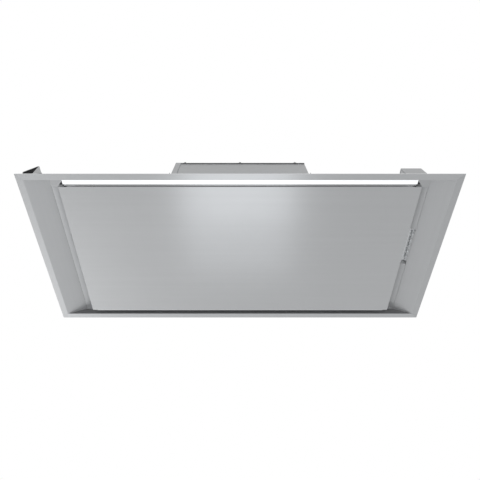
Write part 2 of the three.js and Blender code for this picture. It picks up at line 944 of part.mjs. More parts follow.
for (const [side, sign] of sides) {
  const filter = new THREE.Group();
  filter.position.set(sign * filterCentreX, (filterNear + filterFar) / 2, filterBottom);
  hood.add(filter);
  add(filter, `filter_frame_${side}`, filterRing(), aluminium);
  add(filter, `filter_mesh_${side}`, filterMesh(), aluminium, 0, 0, filterLip + seat);
  add(filter, `filter_latch_${side}`, filterLatch(), blackPlastic);
}

// ---- Light bar ------------------------------------------------------------------------------------

function lightBar() {
  const near = -wallY + seat;
  const wall = fasciaSheet;
  const low = diffuserThickness + seat;
  const channel = outline([
    [near, low],
    [near + wall, low],
    [near + wall, lightWebHeight],
    [lightFar - wall, lightWebHeight],
    [lightFar - wall, low],
    [lightFar, low],
    [lightFar, lightBarTop],
    [lightFar - wall, lightBarTop],
    [lightFar - wall, lightWebHeight + wall],
    [near + wall, lightWebHeight + wall],
    [near + wall, lightBarTop],
    [near, lightBarTop],
  ]);
  const legNear = near + wall + seat;
  const legFar = lightFar - wall - seat;
  const legTop = diffuserThickness + diffuserLeg;
  const diffuser = outline([
    [near, 0],
    [lightFar, 0],
    [lightFar, diffuserThickness],
    [legFar, diffuserThickness],
    [legFar, legTop],
    [legFar - wall, legTop],
    [legFar - wall, diffuserThickness],
    [legNear + wall, diffuserThickness],
    [legNear + wall, legTop],
    [legNear, legTop],
    [legNear, diffuserThickness],
    [near, diffuserThickness],
  ]);
  const boardTop = lightWebHeight - seat;
  const board = rectangle(legNear, legFar, boardTop - lightBoardThickness, boardTop);
  const half = lightLength / 2;
  add(hood, "light_channel", alongX(channel, -half, half), aluminium);
  add(hood, "light_diffuser", alongX(diffuser, -half, half), opal);
  add(hood, "light_board", alongX(outline(board), -half + wall, half - wall), boardGreen);
}
lightBar();

// ---- Controls on the right wall ---------------------------------------------------------------------

const bezelFace = wallX - seat - bezelThickness;
const housingBack = wallX + controlDepth;
const buttonInner = bezelFace + bezelThickness + buttonPlate; // rear face of the button plate

function controlHousing() {
  const halfLength = controlLength / 2;
  const halfHeight = controlHeight / 2;
  const plan = (inset, corner) => outline(roundedRectangle(
    controlCentreY - halfLength + inset,
    controlCentreY + halfLength - inset,
    controlCentreZ - halfHeight + inset,
    controlCentreZ + halfHeight - inset,
    corner,
  ));
  const bezel = alongX(plan(0, bezelCorner), bezelFace, bezelFace + bezelThickness);
  const body = alongX(plan(bezelLap, bodyCorner), bezelFace, housingBack);
  const cavity = alongX(plan(bezelLap + controlWall, bodyCorner), buttonInner, housingBack + overshoot);
  const holes = buttonPlaces().map((y) =>
    alongX(
      outline(roundedRectangle(
        y - buttonLength / 2 - buttonPlay,
        y + buttonLength / 2 + buttonPlay,
        controlCentreZ - buttonHeight / 2 - buttonPlay,
        controlCentreZ + buttonHeight / 2 + buttonPlay,
        buttonCorner + buttonPlay,
      )),
      bezelFace - overshoot,
      buttonInner + overshoot,
    ),
  );
  return cut(join(bezel, body), cavity, ...holes);
}

function buttonPlaces() {
  return Array.from(
    { length: buttonCount },
    (_, i) => controlCentreY + (i - (buttonCount - 1) / 2) * buttonPitch,
  );
}

// A button: a rounded cap with a thin collar behind the button plate.
function button() {
  const halfLength = buttonLength / 2;
  const halfHeight = buttonHeight / 2;
  const cap = alongX(
    outline(roundedRectangle(-halfLength, halfLength, -halfHeight, halfHeight, buttonCorner)),
    bezelFace - buttonProud,
    buttonInner + seat + buttonCollar,
  );
  const collar = alongX(
    outline(rectangle(-halfLength - buttonLedge, halfLength + buttonLedge, -halfHeight, halfHeight)),
    buttonInner + seat,
    buttonInner + seat + buttonCollar,
  );
  return join(cap, collar);
}
add(hood, "control_housing", controlHousing(), greyPlastic);
add(
  hood,
  "control_board",
  alongX(
    outline(rectangle(
      controlCentreY - controlLength / 2 + bezelLap + controlWall + seat,
      controlCentreY + controlLength / 2 - bezelLap - controlWall - seat,
      controlCentreZ - controlHeight / 2 + bezelLap + controlWall + seat,
      controlCentreZ + controlHeight / 2 - bezelLap - controlWall - seat,
    )),
    buttonInner + seat + buttonCollar + buttonTravel + seat,
    buttonInner + seat + buttonCollar + buttonTravel + seat + boardThickness,
  ),
  boardGreen,
);
buttonPlaces().forEach((y, i) => {
  add(hood, `button_${i + 1}`, button(), greyPlastic, 0, y, controlCentreZ);
});

// ---- Terminal box, gland and electronics on the covers ---------------------------------------------

const shelfZ = roofTop + seat;
const terminalRight = wallX - terminalInset;
const terminalLeft = terminalRight - terminalWidth;
const terminalNear = -rimY + terminalSetback;
const terminalFar = terminalNear + terminalDepth;
const terminalTop = shelfZ + terminalHeight;
const glandX = (terminalLeft + terminalRight) / 2;
const glandZ = shelfZ + terminalHeight / 2;

// The box is open to the front and top, and a folded cover closes both.
function terminalBox() {
  const body = block(
    terminalLeft,
    terminalRight,
    terminalNear + terminalWall + seat,
    terminalFar,
    shelfZ,
    terminalTop - terminalWall - seat,
  );
  const inside = block(
    terminalLeft + terminalWall,
    terminalRight - terminalWall,
    terminalNear - overshoot,
    terminalFar - terminalWall,
    shelfZ + terminalWall,
    terminalTop + overshoot,
  );
  const bore = alongY(
    outline(circle(glandX, glandZ, glandStem + seat, stemSides)),
    terminalFar - 2 * terminalWall,
    terminalFar + overshoot,
  );
  return cut(body, inside, bore);
}
function terminalCover() {
  const section = folded(
    [[terminalNear, shelfZ], [terminalNear, terminalTop], [terminalFar, terminalTop]],
    -terminalWall,
  );
  return alongX(section, terminalLeft, terminalRight);
}
// Gland: a threaded stem through the box's wall, a hexagonal collar and a dome with its cable bore.
function cableGland() {
  const dome = [0, 30, 60, 90].map((angle) => [
    glandTip + (glandDome - glandTip) * cos(angle * degrees),
    glandLength - glandTaper + glandTaper * sin(angle * degrees),
  ]);
  const body = turned([
    [glandBore, -2 * terminalWall],
    [glandStem, -2 * terminalWall],
    [glandStem, seat],
    [glandDome, seat],
    ...dome,
    [glandBore, glandLength],
  ], stemSides);
  const collar = cut(
    upward(outline(circle(0, 0, glandNut, 6)), seat, seat + glandNutHeight),
    upward(outline(circle(0, 0, glandStem, stemSides)), seat - overshoot, glandLength),
  );
  return join(body, collar).rotateX(-PI / 2);
}
add(hood, "terminal_box", terminalBox(), galvanised);
add(hood, "terminal_cover", terminalCover(), galvanised);
add(hood, "cable_gland", cableGland(), blackPlastic, glandX, terminalFar, glandZ);

// Housing with cooling fins along its top, its corner at the origin.
function finnedHousing(length, width, height, fins) {
  const pitch = width / fins;
  const root = height - finHeight;
  const points = [[0, 0], [width, 0]];
  const halfTop = (finTopShare / 2) * pitch;
  const halfGap = (finGapShare / 2) * pitch;
  for (let i = fins - 1; i >= 0; i--) {
    const middle = (i + 0.5) * pitch;
    points.push([middle + halfTop, height], [middle - halfTop, height]);
    if (i > 0) {
      points.push([i * pitch + halfGap, root], [i * pitch - halfGap, root]);
    }
  }
  return alongX(outline(points), 0, length);
}
add(
  hood,
  "motor_controller",
  finnedHousing(controllerLength, controllerWidth, controllerHeight, finCount),
  aluminium,
  boxX + controllerDistance,
  -controllerWidth / 2,
  shelfZ,
);
add(
  hood,
  "light_driver",
  alongX(
    outline([
      [0, 0],
      [driverWidth, 0],
      [driverWidth - driverTaper, driverHeight],
      [driverTaper, driverHeight],
    ]),
    0,
    driverLength,
  ),
  blackPlastic,
  -boxX - driverDistance - driverLength,
  0,
  shelfZ,
);

// ---- Mounting brackets --------------------------------------------------------------------------------

// Section for the right side: a foot on the slope, a plate that leans out as it rises, a plate that
// slants down outside it, and a lip that bends in again over the ceiling panel.
function bracketSection() {
  const onSlope = (x) => (slopeX - x) * slopePitch + (fasciaSheet + seat) * slopeLift;
  const foot = rimX - bracketInset;
  const outer = rimX - bracketReach;
  return folded(
    [
      [foot - bracketFoot, onSlope(foot - bracketFoot)],
      [foot, onSlope(foot)],
      [rimX - bracketCrest - bracketSheet / 2, bracketTop - bracketSheet],
      [rimX - bracketCrest + bracketSheet / 2, bracketTop - bracketSheet],
      [outer, bracketElbow],
      [outer - bracketLip, bracketGrip],
    ],
    bracketSheet,
  );
}
const bracketHalf = bracketLength / 2;
const nearBracket = -rimY + bracketSetback + bracketHalf;
const farBracket = rimY - bracketSetback - bracketHalf;
const brackets = [
  ["bracket_near_left", -1, nearBracket],
  ["bracket_near_right", 1, nearBracket + bracketShift],
  ["bracket_far_left", -1, farBracket],
  ["bracket_far_right", 1, farBracket],
];
for (const [name, sign, y] of brackets) {
  const bracket = add(hood, name, alongY(bracketSection(), -bracketHalf, bracketHalf), galvanised, 0, y, 0);
  bracket.scale.x = sign;
}

// ---- Door, about its hinge axis ---------------------------------------------------------------------

const door = new THREE.Group();
door.position.set(0, hingeY, hingeHeight);
hood.add(door);
const nearY = doorNear - hingeY; // the door's edges in its own frame
const farY = doorFar - hingeY;
const underZ = -hingeHeight;
const floorZ = underZ + doorSheet;

function doorSkin() {
  const body = block(-doorX, doorX, nearY, farY, underZ, underZ + doorHeight);
  const inside = block(
    -doorX + doorSheet,
    doorX - doorSheet,
    nearY + doorSheet,
    farY - doorSheet,
    floorZ,
    underZ + doorHeight + overshoot,
  );
  const lipX = doorX - lipInset;
  const lip = alongX(
    outline([
      [farY - doorSheet / 2, underZ],
      [farY + lipReach - lipChamfer, underZ],
      [farY + lipReach, underZ + lipChamfer],
      [farY + lipReach, underZ + lipThickness - lipChamfer],
      [farY + lipReach - lipChamfer, underZ + lipThickness],
      [farY - doorSheet / 2, underZ + lipThickness],
    ]),
    -lipX,
    lipX,
  );
  const notches = sides.map(([, sign]) =>
    block(
      sign * hingeX - notchWidth / 2,
      sign * hingeX + notchWidth / 2,
      nearY - overshoot,
      nearY + doorSheet + overshoot,
      underZ + doorHeight - notchHeight,
      underZ + doorHeight + overshoot,
    ),
  );
  return cut(join(cut(body, inside), lip), ...notches);
}
add(door, "door_skin", doorSkin(), stainless);

// Hat sections that stiffen the door. Their flat tops are also what the catches pull on.
function stiffener() {
  const top = stiffenerTop / 2;
  const foot = top + stiffenerFoot;
  const low = floorZ + seat;
  const high = low + stiffenerHeight;
  const section = folded(
    [[-foot, low], [-top, low], [-top, high], [top, high], [top, low], [foot, low]],
    stiffenerSheet,
  );
  return alongY(section, nearY + stiffenerEndGap, farY - stiffenerEndGap / 2);
}
for (const [side, sign] of sides) {
  add(door, `door_stiffener_${side}`, stiffener(), galvanised, sign * stiffenerX);
}

// Clevis on the door's floor: two ears beside the casing's arm, and the pin through them.
const earOffset = armThickness / 2 + armPlay;
function clevis() {
  const base = floorZ + seat;
  const ear = outline(
    [[-earRadius, base + clevisBase / 2], [earRadius, base + clevisBase / 2],
      ...Array.from({ length: pinSides / 2 + 1 }, (_, i) => {
        const angle = (2 * PI * i) / pinSides;
        return [earRadius * cos(angle), earRadius * sin(angle)];
      })],
    [circle(0, 0, pinRadius + pinPlay, pinSides)],
  );
  const wing = earOffset + earThickness + clevisWing;
  return join(
    block(-wing, wing, -earRadius, earRadius, base, base + clevisBase),
    alongX(ear, earOffset, earOffset + earThickness),
    alongX(ear, -earOffset - earThickness, -earOffset),
  );
}
for (const [side, sign] of sides) {
  add(door, `hinge_clevis_${side}`, clevis(), steel, sign * hingeX);
  const pinHalf = earOffset + earThickness + pinEnd;
  add(
    door,
    `hinge_pin_${side}`,
    alongX(outline(circle(0, 0, pinRadius, pinSides)), -pinHalf, pinHalf),
    steel,
    sign * hingeX,
  );
}

// Hinge arms hang from the plenum covers: an eye round the pin, a stem and a flange under the roof.
function hingeArm() {
  const top = roofZ - seat - hingeHeight;
  const half = armWidth / 2;
  const meet = Math.sqrt(eyeRadius * eyeRadius - half * half);
  const start = Math.asin(meet / eyeRadius);
  const stem = outline(
    [[half, top - fasciaSheet / 2], [-half, top - fasciaSheet / 2],
      ...Array.from({ length: pinSides + 1 }, (_, i) => {
        const angle = PI - start + ((PI + 2 * start) * i) / pinSides;
        return [eyeRadius * cos(angle), eyeRadius * sin(angle)];
      })],
    [circle(0, 0, pinRadius + pinPlay, pinSides)],
  );
  return join(
    alongX(stem, -armThickness / 2, armThickness / 2),
    block(-armFlange / 2, armFlange / 2, -armFlange / 2, armFlange / 2, top - fasciaSheet, top),
  );
}
for (const [side, sign] of sides) {
  add(hood, `hinge_arm_${side}`, hingeArm(), steel, sign * hingeX, hingeY, hingeHeight);
}

// Magnetic catches: a magnet block on a strap that is folded under the roof.
function doorCatch() {
  const low = hingeHeight + floorZ + seat + stiffenerHeight + stiffenerSheet + catchAirGap;
  const top = roofZ - seat;
  const strapY = catchDepth / 2 - catchStrap;
  const strap = folded(
    [[strapY, low + catchBlock / 2], [strapY, top - catchStrap], [-catchDepth / 2, top - catchStrap]],
    -catchStrap,
  );
  return join(
    block(-catchWidth / 2, catchWidth / 2, -catchDepth / 2, catchDepth / 2, low, low + catchBlock),
    alongX(strap, -catchWidth / 4, catchWidth / 4),
  );
}
for (const [side, sign] of sides) {
  add(hood, `door_catch_${side}`, doorCatch(), blackPlastic, sign * stiffenerX, doorFar - catchSetback);
}

export default hood;
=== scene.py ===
"""Finishes and small parts for a ceiling range hood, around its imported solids.

+X is to the right, +Y away from the light bar, +Z up into the ceiling. Shapes are in millimetres, and
become metres where a mesh is made. The camera, the lamps and the materials' coordinates are in metres.
"""

import json
import math

import bmesh
import bpy
from mathutils import Matrix, Vector


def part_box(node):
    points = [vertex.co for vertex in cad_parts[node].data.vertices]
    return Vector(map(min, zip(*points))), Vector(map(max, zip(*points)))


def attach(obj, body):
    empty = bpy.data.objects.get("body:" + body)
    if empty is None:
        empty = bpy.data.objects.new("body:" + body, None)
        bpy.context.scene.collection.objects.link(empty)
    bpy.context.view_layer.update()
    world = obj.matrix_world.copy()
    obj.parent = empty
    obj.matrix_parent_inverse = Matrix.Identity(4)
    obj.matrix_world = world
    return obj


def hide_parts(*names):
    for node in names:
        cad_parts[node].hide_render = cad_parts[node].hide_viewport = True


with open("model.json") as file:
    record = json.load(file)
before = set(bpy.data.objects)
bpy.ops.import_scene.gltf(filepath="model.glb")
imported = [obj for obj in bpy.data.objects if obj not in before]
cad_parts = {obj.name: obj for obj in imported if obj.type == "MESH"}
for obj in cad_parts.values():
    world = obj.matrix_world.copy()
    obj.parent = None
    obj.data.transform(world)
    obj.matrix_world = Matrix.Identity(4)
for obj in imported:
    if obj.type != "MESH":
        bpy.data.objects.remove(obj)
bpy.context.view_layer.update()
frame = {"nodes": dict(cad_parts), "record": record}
MM = 0.001
SIDES = {"left": -1, "right": 1}
BRACKETS = {f"bracket_{row}_{side}": sign for row in ("near", "far") for side, sign in SIDES.items()}


def span(name):
    """Lowest and highest corner of a solid, in millimetres."""
    low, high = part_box(name)
    return low / MM, high / MM


# ---- Camera and lamps -----------------------------------------------------------------------------


def camera():
    """The camera stands low before the near edge and looks steeply up at the hood's underside."""
    place = Matrix.Translation((0, -0.588, -0.9697))
    upward = 55.8
    picture, shift = 480, 34  # in pixels
    data = bpy.data.cameras.new("camera")
    data.lens = 28.05
    data.sensor_width = 36
    data.shift_y = shift / picture
    data.clip_start = 0.01
    data.clip_end = 60
    eye = bpy.data.objects.new("camera", data)
    eye.matrix_world = place @ Matrix.Rotation(math.radians(90 + upward), 4, "X")
    bpy.context.scene.collection.objects.link(eye)
    bpy.context.scene.camera = eye


def lamp(name, place, target, size, power, colour=(1, 1, 1)):
    """A soft rectangular lamp at a place, facing a target."""
    data = bpy.data.lights.new(name, "AREA")
    data.shape = "RECTANGLE"
    data.size, data.size_y = size
    data.energy = power
    data.color = colour
    light = bpy.data.objects.new(name, data)
    light.location = place
    light.rotation_euler = (Vector(target) - Vector(place)).to_track_quat("-Z", "Y").to_euler()
    light.visible_camera = False
    bpy.context.scene.collection.objects.link(light)


# ---- Materials: nodes and shared effects ----------------------------------------------------------


def node(tree, kind, inputs=None, **settings):
    """A node with its settings, and with a value or a link on each named input."""
    made = tree.nodes.new(kind)
    for name, value in settings.items():
        setattr(made, name, value)
    for name, value in (inputs or {}).items():
        if isinstance(value, bpy.types.NodeSocket):
            tree.links.new(value, made.inputs[name])
        else:
            made.inputs[name].default_value = value
    return made


def maths(tree, operation, a, b=0.0):
    return node(tree, "ShaderNodeMath", {0: a, 1: b}, operation=operation).outputs[0]


def plus(tree, a, b):
    return maths(tree, "ADD", a, b)


def minus(tree, a, b):
    return maths(tree, "SUBTRACT", a, b)


def times(tree, a, b):
    return maths(tree, "MULTIPLY", a, b)


def larger(tree, a, b):
    return maths(tree, "MAXIMUM", a, b)


def between(tree, value, low, high, to_low=0.0, to_high=1.0):
    """A value moved from one range to another, and kept inside it."""
    inputs = {"Value": value, "From Min": low, "From Max": high, "To Min": to_low, "To Max": to_high}
    return node(tree, "ShaderNodeMapRange", inputs).outputs["Result"]


def blended(tree, share, first, second):
    """One colour over another by a share."""
    inputs = {0: share, 6: first, 7: second}
    return node(tree, "ShaderNodeMix", inputs, data_type="RGBA").outputs[2]


def noise(tree, point, scale, detail=2.0, roughness=0.5):
    inputs = {"Vector": point, "Scale": scale, "Detail": detail, "Roughness": roughness}
    return node(tree, "ShaderNodeTexNoise", inputs).outputs["Fac"]


def cells(tree, point, scale, **settings):
    """The outputs of a texture of small cells."""
    return node(tree, "ShaderNodeTexVoronoi", {"Vector": point, "Scale": scale}, **settings).outputs


def cell_tone(tree, cell):
    """A different number for each cell."""
    return node(tree, "ShaderNodeSeparateColor", {0: cell["Color"]}).outputs[0]


def coordinates(tree, point):
    """A point's X, Y and Z."""
    return node(tree, "ShaderNodeSeparateXYZ", {0: point}).outputs


def scaled(tree, point, factors):
    return node(tree, "ShaderNodeVectorMath", {0: point, 1: factors}, operation="MULTIPLY").outputs[0]


def effect(name, inputs, outputs):
    """An empty node group, with its own input and output sockets."""
    tree = bpy.data.node_groups.new(name, "ShaderNodeTree")
    for label, default in inputs.items():
        kind = "NodeSocketVector" if isinstance(default, tuple) else "NodeSocketFloat"
        socket = tree.interface.new_socket(label, in_out="INPUT", socket_type=kind)
        socket.default_value = default
    for label in outputs:
        tree.interface.new_socket(label, in_out="OUTPUT", socket_type="NodeSocketFloat")
    return tree, node(tree, "NodeGroupInput").outputs, node(tree, "NodeGroupOutput").inputs


def connect(tree, sockets, **sources):
    """Links to sockets by their names, with a low line for each space."""
    for label, source in sources.items():
        tree.links.new(source, sockets[label.replace("_", " ")])


ORIGIN = (0.0, 0.0, 0.0)


def brushed_lines():
    """Fine lines from brushing or rolling, with broader bands among them. Stretch turns them."""
    inputs = {"Point": ORIGIN, "Stretch": (6.0, 900.0, 900.0)}
    tree, given, result = effect("brushed lines", inputs, ["Lines", "Bands"])
    fine = scaled(tree, given["Point"], given["Stretch"])
    coarse = scaled(tree, fine, (0.3, 0.07, 0.07))
    bands = between(tree, noise(tree, coarse, 1.0), 0.3, 0.7)
    connect(tree, result, Lines=noise(tree, fine, 1.0, 3.0, 0.65), Bands=bands)
    return tree


def handling_marks():
    """Faint wiped smears and finger marks, which change the gloss."""
    inputs = {"Point": ORIGIN, "Scale": 9.0, "Amount": 1.0}
    tree, given, result = effect("handling marks", inputs, ["Marks"])
    smears = between(tree, noise(tree, given["Point"], given["Scale"], 4.0, 0.55), 0.48, 0.75)
    prints = noise(tree, given["Point"], times(tree, given["Scale"], 14.0))
    marks = times(tree, smears, between(tree, prints, 0.25, 0.7))
    connect(tree, result, Marks=times(tree, marks, given["Amount"]))
    return tree


def edge_wear_and_highlight():
    """How much of a folded or cut edge a point lies on, broken up by wear. Materials lighten these edges:
    as wear on most of them, and as a painted highlight on brushed stainless.
    """
    tree, given, result = effect("edge wear and highlight", {"Point": ORIGIN, "Radius": 0.0012}, ["Edge"])
    rounded = node(tree, "ShaderNodeBevel", {"Radius": given["Radius"]}, samples=4).outputs["Normal"]
    straight = node(tree, "ShaderNodeNewGeometry").outputs["Normal"]
    agreement = node(tree, "ShaderNodeVectorMath", {0: rounded, 1: straight}, operation="DOT_PRODUCT")
    edge = between(tree, agreement.outputs["Value"], 0.99, 0.8)
    broken = between(tree, noise(tree, given["Point"], 160.0, 3.0), 0.3, 0.6, 0.35, 1.0)
    connect(tree, result, Edge=times(tree, edge, broken))
    return tree


def settled_dust():
    """Dust on what faces up, thicker in patches."""
    tree, given, result = effect("settled dust", {"Point": ORIGIN, "Amount": 0.4}, ["Dust"])
    upward = coordinates(tree, node(tree, "ShaderNodeTexCoord").outputs["Normal"])["Z"]
    patches = between(tree, noise(tree, given["Point"], 24.0, 5.0, 0.6), 0.35, 0.7)
    amount = times(tree, between(tree, upward, 0.5, 1.0), given["Amount"])
    connect(tree, result, Dust=times(tree, amount, patches))
    return tree


def moulded_grain():
    """The fine pitted texture of moulded plastic or rubber."""
    inputs = {"Point": ORIGIN, "Scale": 1400.0}
    tree, given, result = effect("moulded grain", inputs, ["Height", "Tone"])
    pits = cells(tree, given["Point"], given["Scale"])
    height = between(tree, pits["Distance"], 0.0, 0.8)
    connect(tree, result, Height=height, Tone=noise(tree, given["Point"], 35.0, 4.0))
    return tree


EFFECTS = {
    make.__name__: make()
    for make in (brushed_lines, handling_marks, edge_wear_and_highlight, settled_dust, moulded_grain)
}


def use(tree, name, **inputs):
    """A shared effect placed in a material."""
    values = {label.capitalize(): value for label, value in inputs.items()}
    return node(tree, "ShaderNodeGroup", values, node_tree=EFFECTS[name]).outputs


def material(name, **constants):
    """A material, its node tree, its shader's sockets and the object's own coordinates.

    Constants go on the shader's sockets.
    """
    made = bpy.data.materials.new(name)
    made.use_nodes = True
    tree = made.node_tree
    shader = tree.nodes["Principled BSDF"]
    for label, value in constants.items():
        shader.inputs[label.replace("_", " ")].default_value = value
    point = node(tree, "ShaderNodeTexCoord").outputs["Object"]
    return made, tree, shader.inputs, point


def relief(tree, height, strength, distance):
    """The normal of a surface with fine relief."""
    inputs = {"Height": height, "Strength": strength, "Distance": distance}
    return node(tree, "ShaderNodeBump", inputs).outputs["Normal"]


def grey(level, tint=0.0):
    """A grey, a little bluer as the tint rises."""
    return (level * (1 - tint), level, level * (1 + tint), 1)


def toned(tree, tone, level, swing):
    """Steel's grey, which goes darker and lighter by a swing as the tone changes."""
    tint = 0.012
    return blended(tree, tone, grey(level * (1 - swing), tint), grey(level * (1 + swing), tint))


# ---- Materials: the hood's finishes ---------------------------------------------------------------

FADE = 0.0008  # where a sheet's finish changes, it does so over this distance
RIM_GLOSS = 0.32


def brushed_stainless(name, stretch, level, gloss, bright=None, metal=1.0):
    """Fine brushed stainless sheet. The grain runs along the smallest number of stretch.

    Bright names an axis, the place along it where another part of the sheet starts, and the level and
    gloss of that part. That part's level is painted light and shade: lighter on the shaded side walls, a
    painted highlight on the door's far lip, and darker on the roof's upper face against the lamp's
    highlight. It and the strip along the rim are all metal, and the strip has its own gloss.
    """
    made, tree, sockets, point = material(name, Metallic=metal)
    lines = use(tree, "brushed_lines", point=point, stretch=stretch)
    marks = use(tree, "handling_marks", point=point, scale=7.0, amount=0.7)["Marks"]
    edge = use(tree, "edge_wear_and_highlight", point=point, radius=0.0009)["Edge"]
    tone = plus(tree, times(tree, lines["Lines"], 0.6), times(tree, lines["Bands"], 0.4))
    sheet = toned(tree, tone, level, 0.028)
    sheet = blended(tree, times(tree, marks, 0.12), sheet, grey(level * 0.85))
    rough = between(tree, lines["Lines"], 0.2, 0.8, gloss - 0.02, gloss + 0.03)
    if bright:
        axis, start, painted_level, bright_gloss = bright
        place = coordinates(tree, point)
        share = between(tree, place[axis], start, start + FADE)
        rim = between(tree, place["Z"], 2 * FADE, FADE)
        # The other part's level is painted light and shade, not a different sheet.
        sheet = blended(tree, share, sheet, toned(tree, tone, painted_level, 0.04))
        rough = minus(tree, rough, times(tree, share, gloss - bright_gloss))
        rough = minus(tree, rough, times(tree, rim, gloss - RIM_GLOSS))
        connect(tree, sockets, Metallic=larger(tree, larger(tree, share, rim), metal))
    # Edges painted lighter: a painted highlight along folds and cut edges.
    sheet = blended(tree, times(tree, edge, 0.3), sheet, grey(0.8))
    rough = plus(tree, rough, times(tree, marks, 0.06))
    normal = relief(tree, lines["Lines"], 0.12, 0.00003)
    connect(tree, sockets, Base_Color=sheet, Roughness=rough, Normal=normal)
    return made


def galvanised_sheet(name, bolts_above=None):
    """Zinc-coated sheet with a small, faint spangle, rolling lines and some dust.

    What stands above the height bolts_above, in metres, is a bolt's head, blackened.
    """
    made, tree, sockets, point = material(name, Metallic=0.92)
    wander = node(tree, "ShaderNodeTexNoise", {"Vector": point, "Scale": 60.0}).outputs["Color"]
    bend = {0: wander, 1: (0.006, 0.006, 0.006), 2: point}
    bent = node(tree, "ShaderNodeVectorMath", bend, operation="MULTIPLY_ADD").outputs[0]
    crystal = cell_tone(tree, cells(tree, bent, 110.0))
    lines = use(tree, "brushed_lines", point=point, stretch=(40.0, 700.0, 300.0))["Lines"]
    dust = use(tree, "settled_dust", point=point, amount=0.3)["Dust"]
    edge = use(tree, "edge_wear_and_highlight", point=point, radius=0.0009)["Edge"]
    tone = plus(tree, times(tree, crystal, 0.7), times(tree, lines, 0.3))
    zinc = blended(tree, tone, grey(0.34, 0.012), grey(0.43, 0.02))
    zinc = blended(tree, times(tree, edge, 0.5), zinc, grey(0.6))
    zinc = blended(tree, dust, zinc, (0.38, 0.36, 0.33, 1))
    if bolts_above is not None:
        bolt = between(tree, coordinates(tree, point)["Z"], bolts_above, bolts_above + 0.0001)
        zinc = blended(tree, bolt, zinc, blended(tree, edge, grey(0.04), grey(0.16)))
    rough = plus(tree, between(tree, crystal, 0.0, 1.0, 0.36, 0.5), times(tree, dust, 0.5))
    connect(tree, sockets, Base_Color=zinc, Roughness=rough, Normal=relief(tree, tone, 0.15, 0.00005))
    return made


def satin_aluminium():
    """Extruded or pressed aluminium with a satin surface."""
    made, tree, sockets, point = material("satin aluminium", Metallic=1.0)
    lines = use(tree, "brushed_lines", point=point, stretch=(25.0, 800.0, 800.0))["Lines"]
    marks = use(tree, "handling_marks", point=point, scale=14.0, amount=0.8)["Marks"]
    edge = use(tree, "edge_wear_and_highlight", point=point, radius=0.0006)["Edge"]
    body = blended(tree, lines, grey(0.66, 0.01), grey(0.78, 0.015))
    body = blended(tree, times(tree, marks, 0.3), body, grey(0.55))
    body = blended(tree, times(tree, edge, 0.6), body, grey(0.9))
    rough = between(tree, marks, 0.0, 1.0, 0.34, 0.5)
    connect(tree, sockets, Base_Color=body, Roughness=rough, Normal=relief(tree, lines, 0.1, 0.00003))
    return made


def zinc_plated_steel():
    """Bright zinc plating with a faint rainbow of passivation."""
    made, tree, sockets, point = material("zinc plated steel", Metallic=1.0)
    film = noise(tree, point, 90.0, 3.0)
    edge = use(tree, "edge_wear_and_highlight", point=point, radius=0.0005)["Edge"]
    marks = use(tree, "handling_marks", point=point, scale=60.0, amount=1.0)["Marks"]
    plating = blended(tree, between(tree, film, 0.35, 0.65), (0.5, 0.52, 0.56, 1), (0.6, 0.58, 0.5, 1))
    plating = blended(tree, times(tree, edge, 0.7), plating, grey(0.82))
    rough = between(tree, marks, 0.0, 1.0, 0.28, 0.5)
    connect(tree, sockets, Base_Color=plating, Roughness=rough, Normal=relief(tree, film, 0.1, 0.0001))
    return made


def blackened_steel():
    """Bolts and nuts with a black oxide film, thin at their edges."""
    made, tree, sockets, point = material("blackened steel", Metallic=0.9)
    film = noise(tree, point, 260.0, 3.0)
    edge = use(tree, "edge_wear_and_highlight", point=point, radius=0.0004)["Edge"]
    marks = use(tree, "handling_marks", point=point, scale=90.0, amount=1.0)["Marks"]
    oxide = blended(tree, film, grey(0.045), grey(0.08))
    oxide = blended(tree, times(tree, edge, 0.5), oxide, grey(0.3))
    rough = between(tree, marks, 0.0, 1.0, 0.35, 0.6)
    connect(tree, sockets, Base_Color=oxide, Roughness=rough, Normal=relief(tree, film, 0.1, 0.00005))
    return made


def metallic_paint():
    """Silver paint on moulded plastic, with fine flakes."""
    made, tree, sockets, point = material("metallic paint", Metallic=0.9)
    flake = cell_tone(tree, cells(tree, point, 2600.0))
    marks = use(tree, "handling_marks", point=point, scale=70.0, amount=0.8)["Marks"]
    edge = use(tree, "edge_wear_and_highlight", point=point, radius=0.0004)["Edge"]
    paint = blended(tree, flake, grey(0.8, 0.01), grey(0.88, 0.01))
    paint = blended(tree, times(tree, edge, 0.4), paint, grey(0.8))
    rough = between(tree, marks, 0.0, 1.0, 0.14, 0.3)
    connect(tree, sockets, Base_Color=paint, Roughness=rough, Normal=relief(tree, flake, 0.04, 0.00001))
    return made


def opal_diffuser(pitch, shade_from):
    """Lit opal plastic: even light with a trace of each diode behind it, a pitch apart.

    It is dim past shade_from on Y, where it lies over the channel's far wall: painted shade from that
    wall.
    """
    made, tree, sockets, point = material("opal diffuser", Roughness=0.35, Emission_Strength=0.6)
    place = coordinates(tree, point)
    wave = maths(tree, "SINE", times(tree, place["X"], 2 * math.pi / pitch))
    haze = noise(tree, point, 50.0)
    glow = plus(tree, between(tree, wave, -1.0, 1.0, 0.0, 0.5), times(tree, haze, 0.5))
    lit = blended(tree, glow, (0.93, 0.96, 1.0, 1), (1.0, 1.0, 1.0, 1))
    # Painted shade: no light over the channel's far wall.
    lit = blended(tree, between(tree, place["Y"], shade_from, shade_from + FADE), lit, grey(0.0))
    body = blended(tree, haze, grey(0.8), grey(0.88))
    connect(tree, sockets, Emission_Color=lit, Base_Color=body)
    return made


